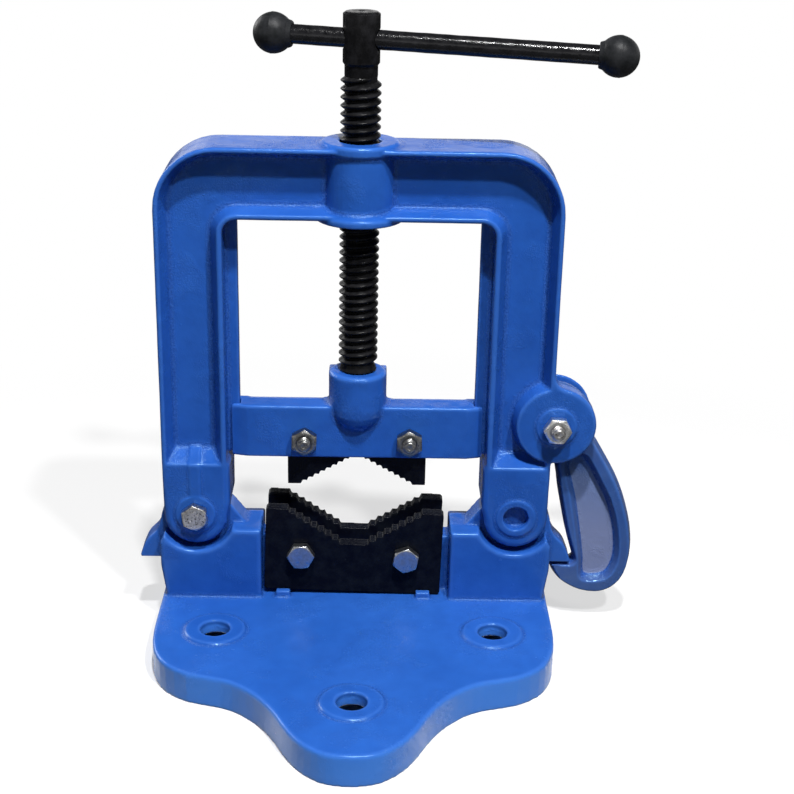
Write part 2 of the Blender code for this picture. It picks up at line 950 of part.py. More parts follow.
flare = cylinder(
    "hub_flare",
    (0, 0, yoke_top - hub_flare_drop),
    (0, 0, yoke_top + hub_disc_rise - hub_disc_round),
    hub_flare_radius,
    ROUND_STEPS,
    end_radius=hub_disc_radius - join_depth,
)
flare_trim = box(
    "flare_trim",
    (-hub_flare_radius, -yoke_half_depth + yoke_edge_round, yoke_top - hub_disc_depth),
    (hub_flare_radius, yoke_half_depth - yoke_edge_round, yoke_top + hub_disc_depth),
)
combine(flare, "INTERSECT", flare_trim)
bore = cylinder(
    "hub_bore",
    (0, 0, window_top - hub_collar_height),
    (0, 0, yoke_top + hub_disc_depth),
    hub_bore_radius + join_depth,
    ROUND_STEPS,
)
join(yoke, flare)
cut(yoke, bore)
join(yoke, hub)

for name, turn_side in (("left", -1.0), ("right", 1.0)):
    inner = turn_side * rail_half_face
    outer = turn_side * (window_half_width + join_depth)
    join(
        yoke,
        box(
            "rail_" + name,
            (min(inner, outer), -rail_half_thickness, rail_foot),
            (max(inner, outer), rail_half_thickness, window_top + join_depth),
        ),
    )
    fork_in = turn_side * (window_half_width - cut_past)
    fork_out = turn_side * (yoke_half_width + cut_past)
    cut(
        yoke,
        box(
            "fork_" + name,
            (min(fork_in, fork_out), -fork_half_gap, pin_height - 2 * ear_radius),
            (max(fork_in, fork_out), fork_half_gap, pin_height + fork_height),
        ),
    )

rear_disc_cut = box(
    "rear_disc_cut",
    (
        yoke_half_width + disc_cut_step,
        fork_half_gap - join_depth,
        latch_pin_height - 2 * disc_radius,
    ),
    (
        latch_pin_x + 2 * disc_radius,
        yoke_half_depth + cut_past,
        latch_pin_height + 2 * disc_radius,
    ),
)
cut(
    rear_disc_cut,
    cylinder(
        "rear_disc",
        (latch_pin_x, fork_half_gap - cut_past, latch_pin_height),
        (latch_pin_x, yoke_half_depth + 2 * cut_past, latch_pin_height),
        disc_radius,
        ROUND_STEPS,
        end_radius=rear_disc_radius,
    ),
)
cut(yoke, rear_disc_cut)
cut(
    yoke,
    cylinder(
        "latch_slot",
        (latch_pin_x, -fork_half_gap, latch_pin_height),
        (latch_pin_x, fork_half_gap, latch_pin_height),
        latch_slot_radius,
        ROUND_STEPS,
    ),
)

ring_places = (
    ("hinge", -pin_offset, pin_height),
    ("blind", pin_offset, pin_height),
    ("latch", latch_pin_x, latch_pin_height),
)
for name, x, z in ring_places:
    for side_name, facing in (("front", -1.0), ("back", 1.0)):
        join(
            yoke,
            cylinder(
                "ring_" + name + "_" + side_name,
                (x, facing * (yoke_half_depth - join_depth), z),
                (x, facing * (yoke_half_depth + ear_ring_height), z),
                ear_ring_radius,
                ROUND_STEPS,
            ),
        )
rib_top = ledge_top + ear_rib_rise
rib_line = [
    (-yoke_half_depth - ear_rib_rise, pin_height + ear_ring_radius - 2 * join_depth),
    (-yoke_half_depth - ear_rib_rise, ledge_foot),
    (-web_half_thickness - ear_rib_rise, rib_top),
    (-web_half_thickness + join_depth, rib_top),
    (-web_half_thickness + join_depth, ledge_foot - join_depth),
    (-fork_half_gap - join_depth, pin_height + fork_height + join_depth),
    (-fork_half_gap - join_depth, pin_height + ear_ring_radius - 2 * join_depth),
]
join(
    yoke,
    ring_stack(
        "ear_rib",
        [
            [Vector((-pin_offset + shift, y, z)) for y, z in rib_line]
            for shift in (-ear_rib_half_width, ear_rib_half_width)
        ],
    ),
)
for side_name, facing in (("front", -1.0), ("back", 1.0)):
    outside = facing * (yoke_half_depth + ear_ring_height)
    cut(
        yoke,
        cylinder(
            "dimple_" + side_name,
            (pin_offset, outside - facing * ear_dimple_depth, pin_height),
            (pin_offset, outside + facing * cut_past, pin_height),
            ear_dimple_radius - join_depth,
            ROUND_STEPS,
            end_radius=ear_dimple_radius,
        ),
    )
for name, x, z in (ring_places[0], ring_places[2]):
    cut(
        yoke,
        cylinder(
            "pin_hole_" + name,
            (x, -2 * yoke_half_depth, z),
            (x, 2 * yoke_half_depth, z),
            bolt_hole_radius,
        ),
    )
smooth_shading(yoke)
yoke.data.transform(Matrix.Translation((pin_offset, 0, -pin_height)))
yoke.location = (-pin_offset, 0, pin_height)


# Crosshead casting
ch_top = crosshead_bottom + crosshead_height
plan = [
    (-crosshead_half_width, -crosshead_half_depth + crosshead_end_depth),
    (-crosshead_half_width + crosshead_end_length, -crosshead_half_depth),
    (crosshead_half_width - crosshead_end_length, -crosshead_half_depth),
    (crosshead_half_width, -crosshead_half_depth + crosshead_end_depth),
    (crosshead_half_width, crosshead_half_depth),
    (-crosshead_half_width, crosshead_half_depth),
]
crosshead = rounded_slab(
    "crosshead",
    plan,
    "flat",
    crosshead_bottom,
    ch_top,
    crosshead_edge_round,
    crosshead_edge_round,
    blue_crosshead,
)
for name, low, high in (
    ("left", -crosshead_half_width + crosshead_end_length, -boss_radius - crosshead_step_width),
    ("right", boss_radius + crosshead_step_width, crosshead_half_width - crosshead_end_length),
):
    cut(
        crosshead,
        box(
            "top_step_" + name,
            (low, crosshead_half_depth - crosshead_step_width, ch_top - crosshead_step_drop),
            (high, crosshead_half_depth + cut_past, ch_top + cut_past),
        ),
    )
ball_centre = ch_top - boss_ball_height
boss_profile = (
    [(0.0, ch_top + boss_rise)]
    + [(boss_radius - boss_edge_round, ch_top + boss_rise)]
    + [(boss_radius, ch_top + boss_rise - boss_edge_round)]
    + [
        (
            boss_radius * math.cos(math.radians(angle)),
            ball_centre - boss_radius * math.sin(math.radians(angle)),
        )
        for angle in range(0, 90, 15)
    ]
    + [(0.0, ball_centre - boss_radius)]
)
boss = turned("boss", boss_profile)
boss_back = box(
    "boss_back",
    (-boss_radius, 0.0, crosshead_bottom + crosshead_height / 2),
    (boss_radius, boss_back_depth, ch_top + boss_rise - boss_edge_round),
)
join(crosshead, boss, boss_back)
for name, turn_side in (("left", -1.0), ("right", 1.0)):
    inner = turn_side * (rail_half_face - running_gap)
    outer = turn_side * (crosshead_half_width + cut_past)
    cut(
        crosshead,
        box(
            "rail_groove_" + name,
            (
                min(inner, outer),
                -rail_half_thickness - running_gap,
                crosshead_bottom - cut_past,
            ),
            (max(inner, outer), rail_half_thickness + running_gap, ch_top + cut_past),
        ),
    )
screw_shoulder = ch_top + boss_rise + piece_gap
tip_bottom = screw_shoulder - screw_tip_length
cut(
    crosshead,
    cylinder(
        "tip_socket",
        (0, 0, tip_bottom - running_gap),
        (0, 0, ch_top + 2 * boss_rise),
        screw_tip_radius + running_gap,
        ROUND_STEPS,
    ),
    box(
        "jaw_seat",
        (
            -upper_jaw_half_width - piece_gap,
            -upper_jaw_half_thickness - piece_gap,
            crosshead_bottom - cut_past,
        ),
        (
            upper_jaw_half_width + piece_gap,
            upper_jaw_half_thickness + piece_gap,
            crosshead_bottom + upper_jaw_seat_depth + piece_gap,
        ),
    ),
)
upper_bolt_height = crosshead_bottom + upper_bolt_rise
for name, x in (("left", -upper_bolt_offset), ("right", upper_bolt_offset)):
    cut(
        crosshead,
        cylinder(
            "jaw_bolt_hole_" + name,
            (x, -2 * crosshead_half_depth, upper_bolt_height),
            (x, 2 * crosshead_half_depth, upper_bolt_height),
            bolt_hole_radius,
        ),
    )
pin_y = screw_groove_radius + retaining_pin_radius + running_gap
pin_z = screw_shoulder - screw_groove_drop
cut(
    crosshead,
    cylinder(
        "retaining_hole",
        (-2 * boss_radius, pin_y, pin_z),
        (2 * boss_radius, pin_y, pin_z),
        retaining_pin_radius + piece_gap,
    ),
)
smooth_shading(crosshead)

retaining_pin = cylinder(
    "retaining_pin",
    (-retaining_pin_half_length, 0, 0),
    (retaining_pin_half_length, 0, 0),
    retaining_pin_radius,
    SMALL_ROUND_STEPS,
    pin_steel,
)
retaining_pin.location = (0, pin_y, pin_z)
smooth_shading(retaining_pin)


# Feed screw, its origin on its axis at the shoulder
head_base = screw_head_top - screw_head_length
thread_top = head_base - screw_neck_length
groove_half = screw_groove_width / 2
screw_points = [
    (0.0, screw_head_top),
    (screw_head_radius - screw_head_chamfer, screw_head_top),
    (screw_head_radius, screw_head_top - screw_head_chamfer),
    (screw_head_radius, head_base),
    (screw_neck_radius, head_base - screw_head_chamfer),
    (screw_neck_radius, thread_top),
    (screw_radius, thread_top - (screw_radius - screw_neck_radius)),
    (screw_radius, screw_shoulder + screw_end_chamfer),
    (screw_radius - screw_end_chamfer, screw_shoulder),
    (screw_tip_radius, screw_shoulder),
    (screw_tip_radius, pin_z + groove_half),
    (screw_groove_radius, pin_z + groove_half),
    (screw_groove_radius, pin_z - groove_half),
    (screw_tip_radius, pin_z - groove_half),
    (screw_tip_radius, tip_bottom + screw_head_chamfer),
    (screw_tip_radius - screw_head_chamfer, tip_bottom),
    (0.0, tip_bottom),
]
screw = turned(
    "screw", [(r, z - screw_shoulder) for r, z in screw_points], ROUND_STEPS, black_screw
)
bar_flat = Vector((math.cos(bar_turn), math.sin(bar_turn), 0.0))
hole_half = 2 * screw_head_radius
hole_middle = Vector((0, 0, bar_height - screw_shoulder))
cut(
    screw,
    cylinder(
        "bar_hole",
        hole_middle - bar_flat * hole_half,
        hole_middle + bar_flat * hole_half,
        bar_hole_radius,
        ROUND_STEPS,
    ),
)
smooth_shading(screw)
screw.location = (0, 0, screw_shoulder)

# Cross bar and knobs, built along X and turned into the hole
bar_matrix = (
    Matrix.Translation((0, 0, bar_height))
    @ Matrix.Rotation(bar_turn, 4, "Z")
    @ Matrix.Rotation(bar_dip, 4, "Y")
)
bar_end = knob_bore_depth - knob_radius
bar = cylinder(
    "handle_bar",
    (-bar_left_reach - bar_end + piece_gap, 0, 0),
    (bar_right_reach + bar_end - piece_gap, 0, 0),
    bar_radius,
    SMALL_ROUND_STEPS,
    black_bar,
)
bar.matrix_world = bar_matrix
smooth_shading(bar)

neck_angle = math.degrees(math.asin(knob_neck_radius / knob_radius))
knob_angles = list(range(15, 135, 15)) + [180.0 - neck_angle - knob_neck_blend]
knob_face = knob_radius * math.cos(math.radians(neck_angle)) + knob_neck_length
knob_profile = (
    [(0.0, knob_radius)]
    + [
        (
            knob_radius * math.sin(math.radians(angle)),
            knob_radius * math.cos(math.radians(angle)),
        )
        for angle in knob_angles
    ]
    + [
        (knob_neck_radius, -knob_face + knob_neck_length / 2),
        (knob_neck_radius, -knob_face),
        (bar_radius + nut_bore_gap, -knob_face),
        (bar_radius + nut_bore_gap, knob_bore_depth - knob_radius),
        (0.0, knob_bore_depth - knob_radius),
    ]
)
for name, reach, tip in (
    ("knob_left", -bar_left_reach, -90.0),
    ("knob_right", bar_right_reach, 90.0),
):
    knob = turned(name, knob_profile, SMALL_ROUND_STEPS + 4, black_knob)
    smooth_shading(knob, 60.0)
    knob.matrix_world = (
        bar_matrix
        @ Matrix.Translation((reach, 0, 0))
        @ Matrix.Rotation(math.radians(tip), 4, "Y")
    )


# Jaws
def teeth(start, end, pitch, depth):
    """Saw teeth from one point to the other, cut into the side to the right of the run."""
    start = Vector(start)
    end = Vector(end)
    run = end - start
    count = max(1, round(run.length / pitch))
    along = run / count
    down = Vector((along.y, -along.x)).normalized() * depth
    points = []
    for i in range(count):
        here = start + along * i
        points.append(tuple(here))
        points.append(tuple(here + along * 0.5 + down))
    return points


upper_vee_top = upper_jaw_tip + upper_jaw_vee_height
upper_half_vee = upper_jaw_half_width - upper_jaw_tip_width
upper_right = (upper_half_vee, upper_jaw_tip)
upper_apex_right = (upper_jaw_flat, upper_vee_top)
upper_top = crosshead_bottom + upper_jaw_seat_depth
run_left = teeth(
    (-upper_half_vee, upper_jaw_tip),
    (-upper_jaw_flat, upper_vee_top),
    upper_tooth_pitch,
    -upper_tooth_depth,
)
run_right = teeth(upper_apex_right, upper_right, upper_tooth_pitch, -upper_tooth_depth)
upper_outline = (
    [(-upper_jaw_half_width, upper_top), (-upper_jaw_half_width, upper_jaw_tip)]
    + run_left
    + run_right
    + [upper_right, (upper_jaw_half_width, upper_jaw_tip), (upper_jaw_half_width, upper_top)]
)
upper_jaw = prism(
    "upper_jaw",
    upper_outline,
    -upper_jaw_half_thickness,
    upper_jaw_half_thickness,
    black_jaw,
)
for name, x in (("left", -upper_bolt_offset), ("right", upper_bolt_offset)):
    cut(
        upper_jaw,
        cylinder(
            "upper_jaw_hole_" + name,
            (x, -2 * upper_jaw_half_thickness, upper_bolt_height),
            (x, 2 * upper_jaw_half_thickness, upper_bolt_height),
            bolt_hole_radius,
        ),
    )
smooth_shading(upper_jaw)

lower_top = lower_jaw_bottom + lower_jaw_height
vee_floor = lower_top - lower_jaw_vee_depth
half_vee = lower_jaw_half_width - lower_jaw_flat_width
run_right = teeth(
    (half_vee, lower_top),
    (lower_jaw_half_floor, vee_floor),
    lower_tooth_pitch,
    -lower_tooth_depth,
)
run_left = teeth(
    (-lower_jaw_half_floor, vee_floor),
    (-half_vee, lower_top),
    lower_tooth_pitch,
    -lower_tooth_depth,
)
lower_outline = (
    [
        (-lower_jaw_half_width + lower_corner_cut, lower_jaw_bottom),
        (lower_jaw_half_width - lower_corner_cut, lower_jaw_bottom),
        (lower_jaw_half_width, lower_jaw_bottom + lower_corner_cut),
        (lower_jaw_half_width, lower_top - lower_corner_cut),
        (lower_jaw_half_width - lower_corner_cut, lower_top),
    ]
    + run_right
    + [(lower_jaw_half_floor, vee_floor)]
    + run_left
    + [
        (-half_vee, lower_top),
        (-lower_jaw_half_width + lower_corner_cut, lower_top),
        (-lower_jaw_half_width, lower_top - lower_corner_cut),
        (-lower_jaw_half_width, lower_jaw_bottom + lower_corner_cut),
    ]
)
leaned = [lean_point(x, z) for x, z in lower_outline]
for name, low, high in (
    ("front", -lower_front, -lower_face),
    ("rear", lower_face, lower_front),
):
    plate = prism("lower_jaw_" + name, leaned, low, high, black_jaw)
    for side_name, (x, z) in zip(("left", "right"), lower_bolt_places):
        cut(
            plate,
            cylinder(
                "lower_jaw_hole_" + name + "_" + side_name,
                (x, low - cut_past, z),
                (x, high + cut_past, z),
                bolt_hole_radius,
            ),
        )
    smooth_shading(plate)


# Latch casting, its origin on the latch pin
def latch_points(shares):
    return [(x * latch_reach, z * latch_reach) for x, z in shares]


def heading(point):
    return math.degrees(math.atan2(point[1], point[0]))


lobe_start = heading(latch_inner_shares[-1]) + latch_lobe_lead
lobe_end = heading(latch_outer_shares[0]) - 360.0 - latch_lobe_lead
latch_outline = (
    arc(0.0, 0.0, latch_lobe_radius, lobe_start, lobe_end, 22)
    + soft_curve(latch_points(latch_outer_shares), 2)[1:]
    + latch_points(latch_claw_shares)
    + soft_curve(latch_points(latch_inner_shares), 2)
)
latch_face = inset(latch_outline, [latch_draft] * len(latch_outline))
latch_rim = inset(latch_face, [latch_edge_small] * len(latch_outline))
latch_rings = [
    upright(latch_rim, -latch_half_thickness),
    upright(latch_face, latch_edge_small - latch_half_thickness),
    upright(latch_outline, -latch_edge_small),
    upright(latch_outline, latch_edge_small),
    upright(latch_face, latch_half_thickness - latch_edge_small),
    upright(latch_rim, latch_half_thickness),
]
latch = ring_stack("latch", latch_rings, blue_latch)
panel = soft_curve(latch_points(latch_panel_shares), 2, closed=True)
panel_deep = inset(panel, [latch_panel_draft] * len(panel))
panel_rise = latch_half_thickness - latch_panel_half
for name, facing in (("front", -1.0), ("back", 1.0)):
    over = cut_past / panel_rise
    panel_past = [
        (a[0] + (a[0] - b[0]) * over, a[1] + (a[1] - b[1]) * over)
        for a, b in zip(panel, panel_deep)
    ]
    cut(
        latch,
        ring_stack(
            "latch_panel_" + name,
            [
                upright(panel_past, facing * (latch_half_thickness + cut_past)),
                upright(panel_deep, facing * latch_panel_half),
            ],
        ),
    )
cut(
    latch,
    cylinder(
        "latch_hole",
        (0, -2 * latch_half_thickness, 0),
        (0, 2 * latch_half_thickness, 0),
        bolt_hole_radius,
    ),
)
smooth_shading(latch)
latch.location = (latch_pin_x, 0, latch_pin_height)


# Fasteners, built along Y with the seat of the head or nut at the origin
hex_radius = hex_across_flats / math.sqrt(3)


def turned_lying(name, profile, steps):
    """A body of revolution about Y."""
    made = smooth_shading(turned(name, profile, steps))
    made.data.transform(Matrix.Rotation(math.radians(-90), 4, "X"))
    return made


def hexagon(name, low, high, round_low, round_high, turn, kind=None):
    """A hexagon between two planes, its corners turned off where asked."""
    shape = cylinder(name, (0, low - cut_past, 0), (0, high + cut_past, 0), hex_radius, 6, kind)
    shape.data.transform(Matrix.Rotation(turn, 4, "Y"))
    flat_radius = hex_face_share * hex_across_flats
    wide_radius = hex_radius + cut_past
    drop = (wide_radius - flat_radius) * math.tan(hex_chamfer)
    profile = [(0.0, high)]
    if round_high:
        profile.append((flat_radius, high))
        profile.append((wide_radius, high - drop))
    else:
        profile.append((wide_radius, high))
    if round_low:
        profile.append((wide_radius, low + drop))
        profile.append((flat_radius, low))
    else:
        profile.append((wide_radius, low))
    profile.append((0.0, low))
    turner = turned_lying(name + "_turning", profile, SMALL_ROUND_STEPS + 4)
    return combine(shape, "INTERSECT", turner)


def bolt(name, place, facing, grip, turn):
    """A hexagon bolt: its head seat at the place, the shank running away from the facing side."""
    made = hexagon(name, -hex_head_height, 0.0, True, False, turn, zinc)
    length = grip + hex_nut_height + bolt_stand_out + 2 * piece_gap
    shank_profile = [
        (0.0, length + bolt_end_chamfer),
        (bolt_radius - bolt_end_chamfer, length + bolt_end_chamfer),
        (bolt_radius, length),
        (bolt_radius, -hex_head_height / 2),
        (0.0, -hex_head_height / 2),
    ]
    join(made, turned_lying(name + "_shank", shank_profile, SMALL_ROUND_STEPS))
    smooth_shading(made)
    made.location = place
    if facing > 0:
        made.rotation_euler = (0, 0, math.pi)
    return made


def nut(name, place, facing, turn):
    made = hexagon(name, -hex_nut_height, 0.0, True, True, turn, zinc)
    cut(
        made,
        cylinder(
            name + "_bore",
            (0, -hex_nut_height - cut_past, 0),
            (0, cut_past, 0),
            bolt_radius + nut_bore_gap,
        ),
    )
    smooth_shading(made)
    made.location = place
    if facing > 0:
        made.rotation_euler = (0, 0, math.pi)
    return made


ring_face = yoke_half_depth + ear_ring_height
corner_up = math.radians(0.0)
flat_up = math.radians(30.0)
hinge_seat = ring_face + piece_gap
bolt("hinge_bolt", (-pin_offset, -hinge_seat, pin_height), -1, 2 * hinge_seat, math.radians(52.0))
nut("hinge_nut", (-pin_offset, hinge_seat, pin_height), 1, flat_up)
bolt("latch_bolt", (latch_pin_x, hinge_seat, latch_pin_height), 1, 2 * hinge_seat, corner_up)
nut("latch_nut", (latch_pin_x, -hinge_seat, latch_pin_height), -1, math.radians(33.0))

crosshead_seat = crosshead_half_depth + piece_gap
for name, x, turn in (("left", -upper_bolt_offset, 2.0), ("right", upper_bolt_offset, -2.0)):
    bolt(
        "upper_jaw_bolt_" + name,
        (x, crosshead_seat, upper_bolt_height),
        1,
        2 * crosshead_seat,
        corner_up,
    )
    nut("upper_jaw_nut_" + name, (x, -crosshead_seat, upper_bolt_height), -1, math.radians(turn))

jaw_seat = lower_front + piece_gap
for name, (x, z), turn in zip(("left", "right"), lower_bolt_places, (28.0, 10.0)):
    bolt("lower_jaw_bolt_" + name, (x, -jaw_seat, z), -1, 2 * jaw_seat, math.radians(turn))
    nut("lower_jaw_nut_" + name, (x, jaw_seat, z), 1, corner_up)
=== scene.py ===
"""The look of a hinged-yoke pipe vise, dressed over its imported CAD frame. Metres, Z up."""

import math

import bmesh
import bpy
import numpy as np
from mathutils import Matrix, Vector


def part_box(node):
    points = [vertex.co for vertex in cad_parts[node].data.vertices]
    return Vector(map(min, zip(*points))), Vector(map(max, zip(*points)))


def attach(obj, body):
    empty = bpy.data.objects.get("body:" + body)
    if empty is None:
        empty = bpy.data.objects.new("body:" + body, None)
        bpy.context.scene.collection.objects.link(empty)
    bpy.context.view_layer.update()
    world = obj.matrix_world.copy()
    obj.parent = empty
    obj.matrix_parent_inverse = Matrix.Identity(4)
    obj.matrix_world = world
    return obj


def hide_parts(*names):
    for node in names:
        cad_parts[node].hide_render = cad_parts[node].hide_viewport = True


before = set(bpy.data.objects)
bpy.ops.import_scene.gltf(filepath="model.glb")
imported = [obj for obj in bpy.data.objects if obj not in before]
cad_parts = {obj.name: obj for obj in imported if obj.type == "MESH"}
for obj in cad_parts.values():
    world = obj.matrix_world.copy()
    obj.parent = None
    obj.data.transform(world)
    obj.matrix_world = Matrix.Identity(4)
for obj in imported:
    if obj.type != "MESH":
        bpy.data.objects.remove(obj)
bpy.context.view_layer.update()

MM = 0.001
scene = bpy.context.scene

# Castings and jaws: how fine the skin's mesh is and how far the mould and its sand move it
casting_voxel = 0.7 * MM
jaw_voxel = 0.4 * MM
weld_distance = 0.01 * MM
casting_faces = 170000
small_casting_faces = 90000
jaw_faces = 60000
crest_size = 0.22 * MM
crest_rounds = 10
casting_wave_depth = 0.3 * MM
casting_wave_scale = 38.0
jaw_wave_depth = 0.12 * MM
sand_depth = 0.05 * MM
sand_scale = 420.0
wave_detail = 2.0
sand_detail = 3.0
noise_middle = 0.5
smoothing_factor = 0.5
casting_smoothing = 5
jaw_smoothing = 3

# Feed screw
screw_radius = 10.95 * MM
screw_thread_depth = 2.2 * MM
screw_pitch = 4.5 * MM
screw_thread_low = 158.0 * MM
screw_thread_high = 320.0 * MM
screw_neck_radius = 8.9 * MM
screw_head_foot = 326.5 * MM
screw_head_top = 353.5 * MM
screw_head_radius = 9.9 * MM
screw_shoulder = 154.8 * MM
screw_tip = 129.8 * MM
screw_tip_radius = 7.5 * MM
screw_groove_height = 141.8 * MM
screw_groove_half = 2.7 * MM
screw_groove_radius = 5.0 * MM
screw_tip_chamfer = 1.5 * MM
screw_shoulder_drop = 1.2 * MM
screw_shoulder_edge = 0.4 * MM
screw_shoulder_chamfer = 0.8 * MM
screw_core_gap = 0.06 * MM
screw_runout_low = 1.6 * MM
screw_runout_high = 1.0 * MM
screw_neck_slope = 0.8 * MM
screw_foot_break = 0.5 * MM
screw_head_break = 0.6 * MM
screw_edge_round = 0.35 * MM
screw_sides = 120
screw_crown = (1.3 * MM, 2.6 * MM)
screw_crown_drop = (1.1 * MM, 0.15 * MM)
screw_centre_radius = 1.8 * MM
screw_centre_depth = 1.2 * MM
screw_thread_steps = 96
screw_thread_rows = 17
screw_thread_fade = 0.45
screw_crest_share = 0.1
screw_root_share = 0.12
thread_sink_share = 0.3
thread_flank_curve = 1.12
thread_weld = 0.004 * MM
thread_touch = 0.001 * MM

# Cross bar, along its own axis through the head of the screw
bar_height = 339.3 * MM
bar_turn = math.radians(-8.0)
bar_dip = math.radians(1.6)
bar_radius = 5.15 * MM
bar_chamfer = 0.8 * MM
bar_rings = 220
bar_sides = 72
bar_waves = ((0.04 * MM, 210.0, 0.0), (0.03 * MM, 560.0, 1.3))
bar_twist_rate = 14.0
bar_hole_radius = 6.1 * MM
bar_hole_half = 30.0 * MM
bar_left = -49.7 * MM
bar_right = 136.7 * MM
knob_left_centre = -47.0 * MM
knob_right_centre = 134.0 * MM
knob_radius = 11.0 * MM
knob_neck_radius = 6.9 * MM
knob_neck_length = 1.6 * MM
knob_bore_gap = 0.1 * MM
knob_bore_depth = 3.2 * MM
knob_mouth_chamfer = 0.3 * MM
knob_mouth_round = 0.5 * MM
knob_seam_place = 1.0 * MM
knob_seam_width = 0.45 * MM
knob_seam_height = 0.13 * MM
knob_neck_turn = math.radians(5.0)
knob_rows = 60
knob_lobes = 3.0
knob_lag_rate = 40.0
knob_dent_share = 0.006
knob_dent_rate = 300.0

# Turned pieces
turned_steps = 96
bevel_from_angle = math.radians(28.0)
sharp_from_angle = math.radians(38.0)

# Fasteners
bolt_radius = 4.0 * MM
bolt_pitch = 1.25 * MM
bolt_thread_depth = 0.72 * MM
bolt_thread_length = 13.0 * MM
bolt_thread_start = 0.5 * MM
bolt_thread_fade = 0.8
bolt_thread_steps = 48
bolt_thread_rows = 11
bolt_crest_share = 0.14
bolt_root_share = 0.2
bolt_core_gap = 0.03 * MM
bolt_shank_gap = 0.05 * MM
bolt_end_chamfer = 0.4 * MM
bolt_end_ring = 0.6 * MM
bolt_dimple_radius = 1.2 * MM
bolt_dimple_slope = 0.3 * MM
bolt_dimple_depth = 0.25 * MM
bolt_shank_sink = 0.6 * MM
bolt_runout = (0.5 * MM, 0.3 * MM)
bolt_edge_round = 0.12 * MM
bolt_edge_steps = 2
hex_across_flats = 14.0 * MM
hex_head_height = 5.3 * MM
hex_edge_round = 0.22 * MM
hex_chamfer_angle = math.radians(30.0)
hex_sides = 72
bore_sides = 64
smallest_bore = 0.1 * MM
bolt_face_share = 0.955
nut_face_share = 0.87
washer_face_height = 0.35 * MM
washer_face_share = 0.93
nut_bore_radius = 4.2 * MM
corner_slack = 0.002 * MM
pin_dome = 0.35 * MM
pin_end_share = 0.6
pin_end_drop = 0.05 * MM
pin_sides = 48

# Camera, from the fit to the photograph
camera_place = Vector((8.491 * MM, -826.51 * MM, 464.917 * MM))
camera_pitch = math.radians(21.586)
camera_yaw = math.radians(0.972)
camera_roll = math.radians(1.22)
photo_width = 794
focal_pixels = 1556.18
sensor_width = 36.0


# Wiring of node trees


class Wiring:
    """Adds nodes to a tree; a value may be a number, a colour or another node's socket."""

    def __init__(self, tree):
        self.tree = tree

    def add(self, kind, values=None, **settings):
        """A new node with its settings and the values of its inputs."""
        node = self.tree.nodes.new(kind)
        for key, value in settings.items():
            setattr(node, key, value)
        for key, value in (values or {}).items():
            if isinstance(value, bpy.types.NodeSocket):
                self.tree.links.new(value, node.inputs[key])
            else:
                node.inputs[key].default_value = value
        return node

    def link(self, start, end):
        self.tree.links.new(start, end)

    def maths(self, operation, first, second=0.0, third=0.0):
        values = {0: first, 1: second, 2: third}
        return self.add("ShaderNodeMath", values, operation=operation).outputs[0]

    def vector(self, operation, first, second=(0.0, 0.0, 0.0)):
        node = self.add("ShaderNodeVectorMath", {0: first, 1: second}, operation=operation)
        return node.outputs["Value" if operation in ("DOT_PRODUCT", "LENGTH") else "Vector"]

    def span(self, value, low, high, to_low=0.0, to_high=1.0, smooth=False):
        """Maps low..high of a value to to_low..to_high, held at both ends."""
        values = {0: value, 1: low, 2: high, 3: to_low, 4: to_high}
        kind = "SMOOTHSTEP" if smooth else "LINEAR"
        return self.add("ShaderNodeMapRange", values, interpolation_type=kind).outputs[0]

    def noise(self, place, scale, detail, rough=0.5):
        values = {"Vector": place, "Scale": scale, "Detail": detail, "Roughness": rough}
        return self.add("ShaderNodeTexNoise", values).outputs["Fac"]

    def specks(self, place, scale, size):
        """Small round spots: 1 in a spot's middle and 0 between them."""
        values = {"Vector": place, "Scale": scale}
        distance = self.add("ShaderNodeTexVoronoi", values).outputs["Distance"]
        return self.span(distance, 0.0, size, 1.0, 0.0, smooth=True)

    def tint(self, share, first, second):
        """A blend of two colours: all of the second where the share is 1."""
        values = {0: share, 6: first, 7: second}
        return self.add("ShaderNodeMix", values, data_type="RGBA").outputs[2]

    def bump(self, height, distance, below=None):
        """Relief on the surface, over the relief below it."""
        values = {"Height": height, "Distance": distance, "Strength": 1.0}
        if below is not None:
            values["Normal"] = below
        return self.add("ShaderNodeBump", values).outputs["Normal"]


def colour(red, green, blue):
    """A colour with its alpha, from linear shares."""
    return (red, green, blue, 1.0)


def finish(name, **plain):
    """A new material: its wiring, its shader and the object's own coordinates."""
    material = bpy.data.materials.new(name)
    material.use_nodes = True
    shader = material.node_tree.nodes["Principled BSDF"]
    for key, value in plain.items():
        shader.inputs[key.replace("_", " ")].default_value = value
    wiring = Wiring(material.node_tree)
    place = wiring.add("ShaderNodeTexCoord").outputs["Object"]
    return material, wiring, shader, place


# Enamel: colours, gloss, and for each noise its scale per metre, detail and roughness
gloss_blue = colour(0.5, 0.82, 1.0)
blue_deep = colour(0.0145, 0.088, 0.40)
blue_fresh = colour(0.021, 0.108, 0.46)
# lighter blue for painted highlights on edges and on sand grains
blue_highlight = colour(0.055, 0.18, 0.60)
# darker blue for random darker patches, and painted shade in corners
blue_patch_and_shade = colour(0.009, 0.050, 0.27)
# lighter blue for painted floor-bounce light at the foot of the base
blue_floor_bounce = colour(0.06, 0.25, 0.85)
enamel_gloss = 0.36
cloud_noise = (17.0, 3.0)
patch_noise = (95.0, 4.0, 0.6)
sand_noise = (41.0, 2.0)
grain_noise = (1150.0, 3.0, 0.6)
gloss_noise = (210.0, 3.0)
peel_noise = (260.0, 2.0)
nib_spots = (130.0, 0.13)

# Enamel: a span is the low and the high value it reads, and then what it gives at both, or 0 and 1
cloud_span = (0.36, 0.64)
patch_span = (0.35, 0.75, 0.0, 0.35)
# painted shade: how far into corners the darker blue reaches
corner_shade_span = (-0.12, -0.9, 0.0, 0.7)
